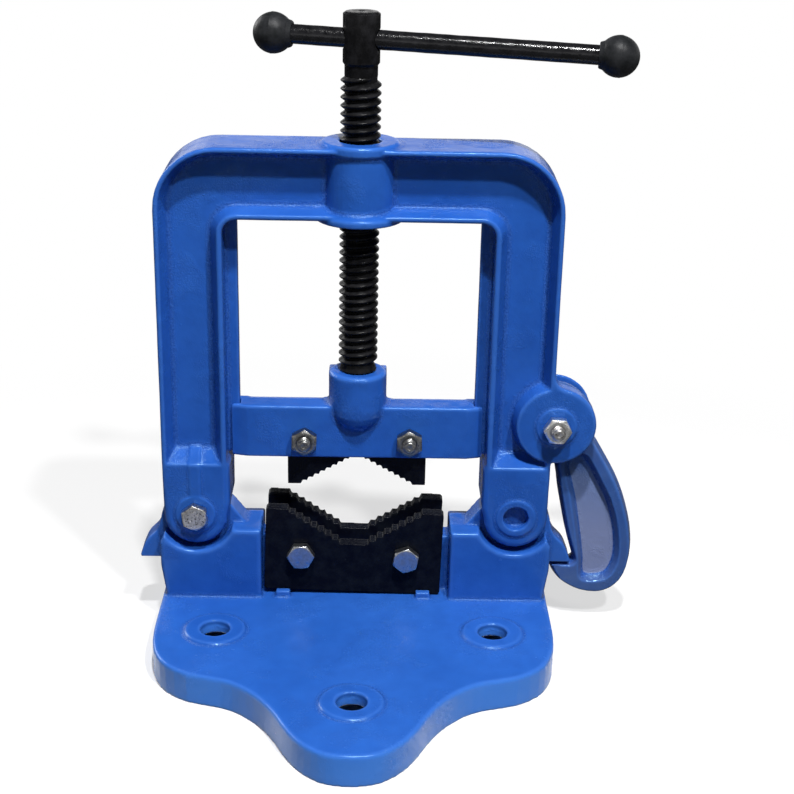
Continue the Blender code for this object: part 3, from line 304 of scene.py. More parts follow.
# painted highlight: how strongly convex edges are lightened
edge_highlight_span = (0.3, 1.2, 0.0, 0.3)
sand_span = (0.5, 0.62)
corner_sand_span = (-0.08, -0.5)
grain_amount_span = (0.0, 1.0, 0.1, 1.0)
grain_span = (0.42, 0.6)
gloss_span = (0.3, 0.7, 0.16, 0.27)

# Enamel: how strong each effect is, and the painted floor-bounce light round the foot of the base
sand_share_most = 0.75
# how strongly the painted glints lighten the sand grains
grain_glint_share = 0.35
sand_roughness = 0.05
peel_relief = 0.09 * MM
nib_relief = 0.1 * MM
grain_relief = 0.38 * MM
bounce_top = 18.5 * MM
bounce_fade = 3.0 * MM
bounce_share = 0.85


def enamel(name, deep, fresh, web=None, floor_bounce=None):
    """Blue enamel sprayed on a sand casting: orange peel, sand patches, painted shade in corners,
    painted highlights on edges and sand grains, and where asked, painted floor-bounce light at the
    foot.
    """
    gloss = {"Specular_IOR_Level": enamel_gloss, "Specular_Tint": gloss_blue}
    material, w, shader, place = finish(name, Metallic=0.0, **gloss)
    crest = w.add("ShaderNodeAttribute", attribute_name="crest").outputs["Fac"]
    body = w.tint(w.span(w.noise(place, *cloud_noise), *cloud_span), deep, fresh)
    body = w.tint(w.span(w.noise(place, *patch_noise), *patch_span), body, blue_patch_and_shade)
    # Painted shade: darker blue in corners and creases
    body = w.tint(w.span(crest, *corner_shade_span), body, blue_patch_and_shade)
    # Painted highlight: a lighter blue along convex edges
    body = w.tint(w.span(crest, *edge_highlight_span), body, blue_highlight)
    sand_place = w.span(w.noise(place, *sand_noise), *sand_span, smooth=True)
    corner = w.span(crest, *corner_sand_span)
    sand_share = w.maths("MAXIMUM", w.maths("MULTIPLY", sand_place, sand_share_most), corner)
    amount = w.span(sand_share, *grain_amount_span)
    grains = w.maths("MULTIPLY", w.noise(place, *grain_noise), amount)
    # Painted glints: the tops of the sand grains are tinted lighter
    grain_glint = w.maths("MULTIPLY", w.span(grains, *grain_span), grain_glint_share)
    body = w.tint(grain_glint, body, blue_highlight)
    if web is not None:
        share, dust = web(w, place)
        body = w.tint(share, body, dust)
    # Painted floor-bounce light: a lighter blue towards the foot of the base
    if floor_bounce is not None:
        height = place_height(w, place)
        low = w.span(height, bounce_top, bounce_top - bounce_fade, 0.0, bounce_share, smooth=True)
        body = w.tint(low, body, floor_bounce)
    w.link(body, shader.inputs["Base Color"])
    rough = w.span(w.noise(place, *gloss_noise), *gloss_span)
    rough = w.maths("ADD", rough, w.maths("MULTIPLY", sand_share, sand_roughness))
    w.link(rough, shader.inputs["Roughness"])
    peel = w.bump(w.noise(place, *peel_noise), peel_relief)
    nibs = w.bump(w.specks(place, *nib_spots), nib_relief, peel)
    w.link(w.bump(grains, grain_relief, nibs), shader.inputs["Normal"])
    return material


def place_height(w, place):
    """The height of a point of the piece."""
    return w.add("ShaderNodeSeparateXYZ", {0: place}).outputs["Z"]


# Latch: its duller blue, and the pale grey-blue web between its rims, paler towards its foot
latch_rim_deep = colour(0.04, 0.1, 0.31)
latch_rim_blue = colour(0.06, 0.11, 0.29)
# the latch web's colours: bluer near its top, greyer and paler near its foot
web_upper_grey_blue = colour(0.11, 0.19, 0.41)
web_pale = colour(0.21, 0.25, 0.42)
web_share = 0.9
web_side_span = (4.4 * MM, 3.4 * MM)
web_top_span = (103.0 * MM, 90.0 * MM)
web_facing_span = (0.75, 0.93)
web_fade_span = (55.0 * MM, 115.0 * MM)


def latch_web(w, place):
    """Where the latch's recessed web lies, and its colour, paler towards its foot."""
    parts = w.add("ShaderNodeSeparateXYZ", {0: place}).outputs
    inner = w.span(w.maths("ABSOLUTE", parts["Y"]), *web_side_span, smooth=True)
    low = w.span(parts["Z"], *web_top_span, smooth=True)
    turned_out = w.add("ShaderNodeAttribute", attribute_name="facing").outputs["Fac"]
    facing = w.maths("MULTIPLY", w.span(turned_out, *web_facing_span), web_share)
    share = w.maths("MULTIPLY", w.maths("MULTIPLY", inner, low), facing)
    return share, w.tint(w.span(parts["Z"], *web_fade_span), web_pale, web_upper_grey_blue)


# Black steel: noises and spans as above, and how far the roughness goes either side of its middle
wear_noise = (160.0, 5.0, 0.65)
wear_span = (0.4, 0.75)
rub_noise = (330.0, 4.0)
rub_span = (0.3, 0.7)
rub_smoother = 0.08
rub_rougher = 0.14
mill_noise = (700.0, 4.0, 0.6)
mill_relief = 0.05 * MM
pit_spots = (420.0, 0.2)
pit_relief = -0.05 * MM


def black_steel(name, shade, glow, roughness, sheen, rolled=0.0):
    """Oiled black steel: near black with faint wear and small pits."""
    material, w, shader, place = finish(name, Specular_IOR_Level=sheen, Metallic=0.0)
    body = w.tint(w.span(w.noise(place, *wear_noise), *wear_span), shade, glow)
    w.link(body, shader.inputs["Base Color"])
    ends = (roughness - rub_smoother, roughness + rub_rougher)
    rub = w.span(w.noise(place, *rub_noise), *rub_span, *ends)
    w.link(rub, shader.inputs["Roughness"])
    mill = w.bump(w.noise(place, *mill_noise), mill_relief + rolled)
    w.link(w.bump(w.specks(place, *pit_spots), pit_relief, mill), shader.inputs["Normal"])
    return material


# Finish of the knobs
knob_black = colour(0.009, 0.010, 0.011)
knob_worn = colour(0.022, 0.023, 0.026)
knob_sheen = 0.15
knob_noise = (210.0, 4.0, 0.6)
knob_span = (0.35, 0.7)
knob_gloss_span = (0.3, 0.7, 0.34, 0.5)
knob_dent_noise = (300.0, 2.0)
knob_dent_relief = 0.16 * MM
knob_grain_noise = (1500.0, 3.0)
knob_grain_relief = 0.03 * MM


def satin_knob():
    """Moulded satin black of the ball ends."""
    gloss = {"Specular_IOR_Level": knob_sheen}
    material, w, shader, place = finish("black_knob_skin", Metallic=0.0, **gloss)
    cloudy = w.noise(place, *knob_noise)
    w.link(w.tint(w.span(cloudy, *knob_span), knob_black, knob_worn), shader.inputs["Base Color"])
    w.link(w.span(cloudy, *knob_gloss_span), shader.inputs["Roughness"])
    dents = w.bump(w.noise(place, *knob_dent_noise), knob_dent_relief)
    grain = w.bump(w.noise(place, *knob_grain_noise), knob_grain_relief, dents)
    w.link(grain, shader.inputs["Normal"])
    return material


# Zinc plate and plain steel: noises and spans as above; stains start at a level of their noise
zinc_dirt = colour(0.06, 0.055, 0.05)
zinc_noise = (420.0, 4.0, 0.6)
zinc_span = (0.35, 0.68)
zinc_gloss_span = (0.3, 0.75, 0.24, 0.46)
stain_noise = (900.0, 3.0, 0.65)
stain_width = 0.09
stain_relief = -0.04 * MM
scratch_stretch = (1.0, 1.0, 9.0)
scratch_noise = (700.0, 3.0, 0.6)
scratch_relief = 0.03 * MM


def plated(name, bright, dull, stain):
    """Zinc plate on a hexagon: streaks, dull spots and dirt stains."""
    material, w, shader, place = finish(name, Metallic=1.0)
    cloud = w.noise(place, *zinc_noise)
    body = w.tint(w.span(cloud, *zinc_span), bright, dull)
    spots = w.span(w.noise(place, *stain_noise), stain, stain + stain_width)
    w.link(w.tint(spots, body, zinc_dirt), shader.inputs["Base Color"])
    w.link(w.span(cloud, *zinc_gloss_span), shader.inputs["Roughness"])
    stretched = w.add("ShaderNodeMapping", {"Vector": place, "Scale": scratch_stretch}).outputs[0]
    lines = w.bump(w.noise(stretched, *scratch_noise), scratch_relief)
    w.link(w.bump(spots, stain_relief, lines), shader.inputs["Normal"])
    return material


# Every finish; black steel has its shade, worn shade, roughness, sheen and mill marks,
# and plate its bright and dull colours and the level of its stains
finishes = {
    "base": enamel("enamel_base_skin", blue_deep, blue_fresh, floor_bounce=blue_floor_bounce),
    "yoke": enamel("enamel_yoke_skin", blue_deep, blue_fresh),
    "crosshead": enamel("enamel_crosshead_skin", blue_deep, blue_fresh),
    "latch": enamel("enamel_latch_skin", latch_rim_deep, latch_rim_blue, latch_web),
    "knob": satin_knob(),
}
black_steels = {
    "screw": (colour(0.005, 0.005, 0.0055), colour(0.017, 0.017, 0.019), 0.22, 0.07),
    "bar": (colour(0.005, 0.005, 0.006), colour(0.014, 0.014, 0.016), 0.15, 0.25, 0.08 * MM),
    "jaw": (colour(0.0025, 0.003, 0.007), colour(0.007, 0.009, 0.014), 0.24, 0.07, 0.06 * MM),
}
for look, values in black_steels.items():
    finishes[look] = black_steel(look + "_skin", *values)
plates = {
    "zinc": (colour(0.54, 0.55, 0.56), colour(0.36, 0.365, 0.37), 0.62),
    "zinc_bright": (colour(0.88, 0.88, 0.87), colour(0.62, 0.62, 0.6), 0.62),
    "zinc_dark": (colour(0.3, 0.3, 0.295), colour(0.15, 0.15, 0.145), 0.58),
    "zinc_soiled": (colour(0.64, 0.63, 0.63), colour(0.38, 0.37, 0.35), 0.54),
    "pin": (colour(0.38, 0.385, 0.39), colour(0.2, 0.2, 0.2), 0.58),
}
for look, values in plates.items():
    finishes[look] = plated(look + "_skin", *values)


# Shaping helpers


def new_piece(name, mesh):
    """A new object in the scene, at the origin."""
    piece = bpy.data.objects.new(name, mesh)
    scene.collection.objects.link(piece)
    return piece


def settled(piece):
    """The piece's mesh with all its modifiers worked in, and the modifiers gone."""
    graph = bpy.context.evaluated_depsgraph_get()
    graph.update()
    mesh = bpy.data.meshes.new_from_object(piece.evaluated_get(graph))
    old = piece.data
    piece.modifiers.clear()
    piece.data = mesh
    bpy.data.meshes.remove(old)
    mesh.name = piece.name
    return mesh


def nodes_modifier(piece, tree, **values):
    """Puts a geometry tree on a piece; values go to the tree's named inputs."""
    modifier = piece.modifiers.new(tree.name, "NODES")
    modifier.node_group = tree
    for socket in tree.interface.items_tree:
        if socket.item_type == "SOCKET" and socket.in_out == "INPUT":
            key = socket.name.lower().replace(" ", "_")
            if key in values:
                modifier[socket.identifier] = values[key]


def geometry_tree(name, **inputs):
    """A geometry tree with named inputs: its wiring, its input sockets and its last socket."""
    tree = bpy.data.node_groups.new(name, "GeometryNodeTree")
    face = tree.interface
    face.new_socket(name="Mesh", in_out="INPUT", socket_type="NodeSocketGeometry")
    for key, value in inputs.items():
        kind = {int: "Int", float: "Float", type(None): "Material"}[type(value)]
        label = key.replace("_", " ").title()
        socket = face.new_socket(name=label, in_out="INPUT", socket_type=f"NodeSocket{kind}")
        if value is not None:
            socket.default_value = value
    face.new_socket(name="Mesh", in_out="OUTPUT", socket_type="NodeSocketGeometry")
    wiring = Wiring(tree)
    entry = wiring.add("NodeGroupInput").outputs
    end = wiring.add("NodeGroupOutput").inputs[0]
    return tree, wiring, entry, end


def close_tree(w, geometry, material, end):
    """Ends a tree: instances made real and the finish set."""
    real = w.add("GeometryNodeRealizeInstances", {0: geometry}).outputs[0]
    clad = w.add("GeometryNodeSetMaterial", {"Geometry": real, "Material": material}).outputs[0]
    w.link(clad, end)


def casting_tree():
    """The skin of a sand casting: gentle waves of the mould and a fine sand texture.

    It leaves two attributes: crest, above 0 on edges and below 0 in corners, and facing,
    which is 1 where the skin faces the front or the back.
    """
    tree, w, entry, end = geometry_tree(
        "casting_skin",
        wave_depth=casting_wave_depth,
        wave_scale=casting_wave_scale,
        sand_depth=sand_depth,
        sand_scale=sand_scale,
        crest_size=crest_size,
        material=None,
    )
    place = w.add("GeometryNodeInputPosition").outputs[0]
    normal = w.add("GeometryNodeInputNormal").outputs[0]
    blur = w.add("GeometryNodeBlurAttribute", data_type="FLOAT_VECTOR")
    sockets = {socket.name: socket for socket in blur.inputs if socket.enabled}
    w.link(place, sockets["Value"])
    sockets["Iterations"].default_value = crest_rounds
    calm = [socket for socket in blur.outputs if socket.enabled][0]
    away = w.vector("DOT_PRODUCT", w.vector("SUBTRACT", place, calm), normal)
    crest = w.maths("DIVIDE", away, entry["Crest Size"])
    facing = w.maths("ABSOLUTE", w.add("ShaderNodeSeparateXYZ", {0: normal}).outputs["Y"])
    stored = entry["Mesh"]
    for label, value in (("crest", crest), ("facing", facing)):
        values = {"Geometry": stored, "Name": label, "Value": value}
        store = "GeometryNodeStoreNamedAttribute"
        stored = w.add(store, values, data_type="FLOAT", domain="POINT").outputs[0]
    wave = w.maths("SUBTRACT", w.noise(place, entry["Wave Scale"], wave_detail), noise_middle)
    sand = w.maths("SUBTRACT", w.noise(place, entry["Sand Scale"], sand_detail), noise_middle)
    wave = w.maths("MULTIPLY", wave, entry["Wave Depth"])
    sand = w.maths("MULTIPLY", sand, entry["Sand Depth"])
    push = {0: normal, "Scale": w.maths("ADD", wave, sand)}
    offset = w.add("ShaderNodeVectorMath", push, operation="SCALE").outputs[0]
    moved = w.add("GeometryNodeSetPosition", {"Geometry": stored, "Offset": offset}).outputs[0]
    smooth = w.add("GeometryNodeSetShadeSmooth", {"Geometry": moved}).outputs[0]
    close_tree(w, smooth, entry["Material"], end)
    return tree


def thread_tree():
    """A thread as one closed skin: a grid wound round the axis, its ends sunk into the core."""
    tree, w, entry, end = geometry_tree(
        "wound_thread",
        radius=bolt_radius,
        depth=bolt_thread_depth,
        pitch=bolt_pitch,
        low=0.0,
        turns=1,
        steps=bolt_thread_steps,
        rows=bolt_thread_rows,
        fade_turns=bolt_thread_fade,
        crest_width=bolt_crest_share,
        root_width=bolt_root_share,
        material=None,
    )
    along = w.maths("ADD", w.maths("MULTIPLY", entry["Turns"], entry["Steps"]), 1.0)
    sizes = {"Size X": 1.0, "Size Y": 1.0, "Vertices X": along, "Vertices Y": entry["Rows"]}
    grid = w.add("GeometryNodeMeshGrid", sizes).outputs[0]
    place = w.add("GeometryNodeInputPosition").outputs[0]
    parts = w.add("ShaderNodeSeparateXYZ", {0: place}).outputs
    wound = w.maths("MULTIPLY", w.maths("ADD", parts["X"], 0.5), entry["Turns"])
    angle = w.maths("MULTIPLY", wound, math.tau)
    rise = w.maths("MULTIPLY", w.maths("ADD", wound, parts["Y"]), entry["Pitch"])
    free_height = w.maths("ADD", rise, entry["Low"])
    length = w.maths("MULTIPLY", entry["Turns"], entry["Pitch"])
    top = w.maths("ADD", entry["Low"], length)
    height = w.maths("MINIMUM", w.maths("MAXIMUM", free_height, entry["Low"]), top)
    inside = w.maths("COMPARE", free_height, height, thread_touch)
    side = w.maths("MULTIPLY", w.maths("ABSOLUTE", parts["Y"]), 2.0)
    crest_end = entry["Crest Width"]
    root_start = w.maths("SUBTRACT", 1.0, entry["Root Width"])
    rise_share = w.span(side, crest_end, root_start, 1.0, 0.0)
    flank = w.maths("POWER", w.maths("SUBTRACT", 1.0, rise_share), thread_flank_curve)
    rounded = w.maths("SUBTRACT", 1.0, flank)
    to_end = w.maths("MINIMUM", wound, w.maths("SUBTRACT", entry["Turns"], wound))
    fade = w.span(to_end, 0.0, entry["Fade Turns"], smooth=True)
    sink = w.maths("MULTIPLY", entry["Depth"], -thread_sink_share)
    sunk = w.maths("MULTIPLY", w.maths("SUBTRACT", 1.0, fade), sink)
    root = w.maths("SUBTRACT", entry["Radius"], entry["Depth"])
    tall = w.maths("MULTIPLY", w.maths("MULTIPLY", rounded, entry["Depth"]), fade)
    reach = w.maths("MULTIPLY", w.maths("ADD", w.maths("ADD", root, tall), sunk), inside)
    x = w.maths("MULTIPLY", reach, w.maths("COSINE", angle))
    y = w.maths("MULTIPLY", reach, w.maths("SINE", angle))
    spot = w.add("ShaderNodeCombineXYZ", {0: x, 1: y, 2: height}).outputs[0]
    wound_mesh = w.add("GeometryNodeSetPosition", {"Geometry": grid, "Position": spot}).outputs[0]
    merged = w.add("GeometryNodeMergeByDistance", {"Geometry": wound_mesh, "Distance": thread_weld})
    smooth = w.add("GeometryNodeSetShadeSmooth", {"Geometry": merged.outputs[0]}).outputs[0]
    close_tree(w, smooth, entry["Material"], end)
    return tree


def hexagon_tree():
    """A hexagon with its corners turned off, with a washer face and, on a nut, a bore."""
    tree, w, entry, end = geometry_tree(
        "turned_hexagon",
        flats=hex_across_flats,
        height=hex_head_height,
        bore=0.0,
        washer=washer_face_height,
        face_share=bolt_face_share,
        lower_chamfer=0.0,
        material=None,
    )
    half_flats = w.maths("MULTIPLY", entry["Flats"], 0.5)
    corner = w.maths("DIVIDE", half_flats, math.cos(math.pi / 6))
    prism_height = w.maths("SUBTRACT", entry["Height"], entry["Washer"])
    middle = w.maths("ADD", w.maths("MULTIPLY", prism_height, 0.5), entry["Washer"])
    lift = w.add("ShaderNodeCombineXYZ", {2: middle}).outputs[0]
    sizes = {"Vertices": 6, "Radius": corner, "Depth": prism_height}
    prism = w.add("GeometryNodeMeshCylinder", sizes, fill_type="NGON").outputs[0]
    prism = w.add("GeometryNodeTransform", {"Geometry": prism, "Translation": lift}).outputs[0]
    face = w.maths("MULTIPLY", half_flats, entry["Face Share"])
    slope = 1.0 / math.tan(hex_chamfer_angle)
    wide = w.maths("ADD", face, w.maths("MULTIPLY", entry["Height"], slope))
    cone_sizes = {"Vertices": hex_sides, "Radius Top": face, "Radius Bottom": wide}
    cone_sizes["Depth"] = entry["Height"]
    upper = w.add("GeometryNodeMeshCone", cone_sizes, fill_type="NGON").outputs[0]
    chamfers = {0: entry["Lower Chamfer"], 2: wide, 3: face}
    low_face = w.add("ShaderNodeMix", chamfers, data_type="FLOAT").outputs[0]
    flip_sizes = {"Vertices": hex_sides, "Radius Top": wide, "Radius Bottom": low_face}
    flip_sizes["Depth"] = entry["Height"]
    lower = w.add("GeometryNodeMeshCone", flip_sizes, fill_type="NGON").outputs[0]
    washer_lift = w.add("ShaderNodeCombineXYZ", {2: entry["Washer"]}).outputs[0]
    lower = w.add("GeometryNodeTransform", {"Geometry": lower, "Translation": washer_lift}).outputs[0]
    cut = w.add("GeometryNodeMeshBoolean", operation="INTERSECT", solver="EXACT")
    for shape in (prism, upper, lower):
        w.link(shape, cut.inputs["Mesh 2"])
    washer_radius = w.maths("MULTIPLY", half_flats, washer_face_share)
    washer_sizes = {"Vertices": hex_sides, "Radius": washer_radius}
    washer_sizes["Depth"] = w.maths("MULTIPLY", entry["Washer"], 2.0)
    ring = w.add("GeometryNodeMeshCylinder", washer_sizes, fill_type="NGON").outputs[0]
    ring = w.add("GeometryNodeTransform", {"Geometry": ring, "Translation": washer_lift}).outputs[0]
    joined = w.add("GeometryNodeMeshBoolean", operation="UNION", solver="EXACT")
    for shape in (cut.outputs["Mesh"], ring):
        w.link(shape, joined.inputs["Mesh 2"])
    drill_length = w.maths("MULTIPLY", entry["Height"], 4.0)
    drill_sizes = {"Vertices": bore_sides, "Radius": entry["Bore"], "Depth": drill_length}
    drill = w.add("GeometryNodeMeshCylinder", drill_sizes, fill_type="NGON").outputs[0]
    bored = w.add("GeometryNodeMeshBoolean", operation="DIFFERENCE", solver="EXACT")
    w.link(joined.outputs["Mesh"], bored.inputs["Mesh 1"])
    w.link(drill, bored.inputs["Mesh 2"])
    has_bore = w.maths("GREATER_THAN", entry["Bore"], smallest_bore)
    choice = w.add("GeometryNodeSwitch", input_type="GEOMETRY")
    w.link(has_bore, choice.inputs[0])
    w.link(joined.outputs["Mesh"], choice.inputs[1])
    w.link(bored.outputs["Mesh"], choice.inputs[2])
    close_tree(w, choice.outputs[0], entry["Material"], end)
    return tree


casting_skin = casting_tree()
wound_thread = thread_tree()
turned_hexagon = hexagon_tree()


def cast_piece(name, node, body, slot, look, voxel, faces, rounds=casting_smoothing, **skin):
    """A casting from its CAD node: edges softened, skin roughened, one closed mesh."""
    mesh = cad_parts[node].data.copy()
    mesh.materials.clear()
    work = bmesh.new()
    work.from_mesh(mesh)
    bmesh.ops.remove_doubles(work, verts=work.verts, dist=weld_distance)
    work.to_mesh(mesh)
    work.free()
    piece = new_piece(name, mesh)
    remesh = piece.modifiers.new("even_skin", "REMESH")
    remesh.mode = "VOXEL"
    remesh.voxel_size = voxel
    soften = piece.modifiers.new("soft_edges", "SMOOTH")
    soften.factor = smoothing_factor
    soften.iterations = rounds
    nodes_modifier(piece, casting_skin, material=finishes[look], **skin)
    mesh = settled(piece)
    mesh.calc_loop_triangles()
    share = faces / max(len(mesh.loop_triangles), faces)
    thin = piece.modifiers.new("fewer_faces", "DECIMATE")
    thin.ratio = share
    mesh = settled(piece)
    mesh.polygons.foreach_set("use_smooth", [True] * len(mesh.polygons))
    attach(piece, body)
    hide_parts(node)


def turned(outline, steps=turned_steps):
    """A closed mesh turned round Z from an outline of (radius, height); its ends lie on the axis."""
    work = bmesh.new()
    rings = []
    for radius, height in outline:
        if radius == 0.0:
            rings.append([work.verts.new((0.0, 0.0, height))])
            continue
        ring = []
        for k in range(steps):
            angle = math.tau * k / steps
            spot = (radius * math.cos(angle), radius * math.sin(angle), height)
            ring.append(work.verts.new(spot))
        rings.append(ring)
    for lower, upper in zip(rings, rings[1:]):
        for k in range(steps):
            after = (k + 1) % steps
            corners = [lower[k % len(lower)], lower[after % len(lower)]]
            corners += [upper[after % len(upper)], upper[k % len(upper)]]
            work.faces.new(list(dict.fromkeys(corners)))
    bmesh.ops.recalc_face_normals(work, faces=work.faces)
    mesh = bpy.data.meshes.new("turned")
    work.to_mesh(mesh)
    work.free()
    return mesh


def dressed(piece, look, bevel=0.0, segments=3):
    """Gives a piece its finish, soft corners and smooth shading by angle."""
    piece.data.materials.clear()
    piece.data.materials.append(finishes[look])
    if bevel > 0.0:
        corner = piece.modifiers.new("corner", "BEVEL")
        corner.width = bevel
        corner.segments = segments
        corner.limit_method = "ANGLE"
        corner.angle_limit = bevel_from_angle
        settled(piece)
    piece.data.polygons.foreach_set("use_smooth", [True] * len(piece.data.polygons))
    piece.data.set_sharp_from_angle(angle=sharp_from_angle)


def joined(name, pieces):
    """Several pieces made one mesh with that name."""
    work = bmesh.new()
    materials = []
    for piece in pieces:
        start = len(work.faces)
        work.from_mesh(piece.data)
        work.faces.ensure_lookup_table()
        look = piece.data.materials[0]
        if look not in materials:
            materials.append(look)
        for face in work.faces[start:]:
            face.material_index = materials.index(look)
    mesh = bpy.data.meshes.new(name)
    work.to_mesh(mesh)
    work.free()
    for look in materials:
        mesh.materials.append(look)
    for piece in pieces:
        old = piece.data
        bpy.data.objects.remove(piece)
        bpy.data.meshes.remove(old)
    return new_piece(name, mesh)


def thread_piece(look, radius, depth, pitch, low, turns, **more):
    """A thread round Z, from the height low upwards."""
    piece = new_piece("thread", bpy.data.meshes.new("thread"))
    nodes_modifier(
        piece,
        wound_thread,
        radius=radius,
        depth=depth,
        pitch=pitch,
        low=low,
        turns=turns,
        material=finishes[look],
        **more,
    )
    settled(piece)
    dressed(piece, look)
    return piece


def hexagon_piece(look, height, bore=0.0, lower_chamfer=0.0, face_share=bolt_face_share):
    """A hexagon standing on Z = 0; a lower chamfer of 1 gives it both, as a nut has."""
    piece = new_piece("hexagon", bpy.data.meshes.new("hexagon"))
    nodes_modifier(
        piece,
        turned_hexagon,
        flats=hex_across_flats,
        height=height,
        bore=bore,
        washer=washer_face_height,
        face_share=face_share,
        lower_chamfer=lower_chamfer,
        material=finishes[look],
    )
    settled(piece)
    dressed(piece, look, hex_edge_round)
    return piece


# Castings and jaws

castings = {
    "base": casting_faces,
    "yoke": casting_faces,
    "crosshead": small_casting_faces,
    "latch": small_casting_faces,
}
for node, faces in castings.items():
    cast_piece(
        f"{node}_casting",
        node,
        f"{node}_body",
        f"blue_enamel_{node}",
        node,
        casting_voxel,
        faces,
    )

jaws = {
    "upper_jaw": "crosshead_body",
    "lower_jaw_front": "base_body",
    "lower_jaw_rear": "base_body",
}
for node, body in jaws.items():
    cast_piece(
        f"{node}_forging",
        node,
        body,
        "black_oxide_jaw",
        "jaw",
        jaw_voxel,
        jaw_faces,
        rounds=jaw_smoothing,
        wave_depth=jaw_wave_depth,
    )


# Feed screw


def screw_core():
    """The turned body of the screw: tip with its groove, core, neck and cross-drilled head."""
    core = screw_radius - screw_thread_depth - screw_core_gap
    groove_low = screw_groove_height - screw_groove_half
    groove_high = screw_groove_height + screw_groove_half
    outline = [
        (0.0, screw_tip),
        (screw_tip_radius - screw_tip_chamfer, screw_tip),
        (screw_tip_radius, screw_tip + screw_tip_chamfer),
        (screw_tip_radius, groove_low),
        (screw_groove_radius, groove_low),
        (screw_groove_radius, groove_high),
        (screw_tip_radius, groove_high),
        (screw_tip_radius, screw_shoulder),
        (screw_radius - screw_shoulder_drop, screw_shoulder),
        (screw_radius - screw_shoulder_edge, screw_shoulder + screw_shoulder_chamfer),
        (core, screw_thread_low + screw_runout_low),
        (core, screw_thread_high - screw_runout_high),
        (screw_neck_radius, screw_thread_high + screw_head_break),
        (screw_neck_radius, screw_head_foot - screw_neck_slope),
        (screw_head_radius - screw_foot_break, screw_head_foot),
        (screw_head_radius, screw_head_foot + screw_head_break),
        (screw_head_radius, screw_head_top - screw_crown_drop[0]),
        (screw_head_radius - screw_crown[0], screw_head_top - screw_crown_drop[1]),
        (screw_head_radius - screw_crown[1], screw_head_top),
        (screw_centre_radius, screw_head_top),
        (0.0, screw_head_top - screw_centre_depth),
    ]
    piece = new_piece("screw_core", turned(outline, screw_sides))
    drill_outline = [
        (0.0, -bar_hole_half),
        (bar_hole_radius, -bar_hole_half),
        (bar_hole_radius, bar_hole_half),
        (0.0, bar_hole_half),
    ]
    drill = new_piece("drill", turned(drill_outline, bore_sides))
    drill.data.transform(bar_place() @ Matrix.Rotation(math.pi / 2, 4, "Y"))
    hole = piece.modifiers.new("cross_hole", "BOOLEAN")
    hole.object = drill
    hole.solver = "EXACT"
    settled(piece)
    bpy.data.objects.remove(drill)
    dressed(piece, "screw", screw_edge_round)
    return piece


def bar_place():
    """Where the bar lies: its local X runs from the left knob to the right one."""
    turn = Matrix.Rotation(bar_turn, 4, "Z") @ Matrix.Rotation(bar_dip, 4, "Y")
    return Matrix.Translation((0.0, 0.0, bar_height)) @ turn


screw_turns = round((screw_thread_high - screw_thread_low) / screw_pitch)
screw_thread = thread_piece(
    "screw",
    screw_radius,
    screw_thread_depth,
    (screw_thread_high - screw_thread_low) / screw_turns,
    screw_thread_low,
    screw_turns,
    steps=screw_thread_steps,
    rows=screw_thread_rows,
    fade_turns=screw_thread_fade,
    crest_width=screw_crest_share,
    root_width=screw_root_share,
)
feed_screw = joined("feed_screw", [screw_core(), screw_thread])
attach(feed_screw, "screw_body")
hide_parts("screw")


# Bar and knobs


def rolled_bar():
    """A rolled bar with slightly uneven sides, along X, its ends chamfered inside the knobs."""
    start = bar_left + bar_chamfer
    straight = bar_right - bar_left - 2 * bar_chamfer
    outline = [(0.0, bar_left), (bar_radius - bar_chamfer, bar_left), (bar_radius, start)]
    for k in range(1, bar_rings):
        outline.append((bar_radius, start + straight * k / bar_rings))
    outline.append((bar_radius, bar_right - bar_chamfer))
    outline.append((bar_radius - bar_chamfer, bar_right))
    outline.append((0.0, bar_right))
    mesh = turned(outline, bar_sides)
    points = np.zeros(len(mesh.vertices) * 3)
    mesh.vertices.foreach_get("co", points)
    points = points.reshape(-1, 3)
    swing = np.zeros(len(points))
    for height, rate, lag in bar_waves:
        swing += height * np.sin(points[:, 2] * rate + lag)
    side = np.arctan2(points[:, 1], points[:, 0])
    grow = 1.0 + swing * np.cos(2.0 * side + points[:, 2] * bar_twist_rate) / bar_radius
    points[:, :2] *= grow[:, None]
    mesh.vertices.foreach_set("co", points.ravel())
    mesh.transform(bar_place() @ Matrix.Rotation(math.pi / 2, 4, "Y"))
    return mesh


bar_piece = new_piece("sliding_bar", rolled_bar())
dressed(bar_piece, "bar")
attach(bar_piece, "bar_body")
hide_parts("handle_bar")


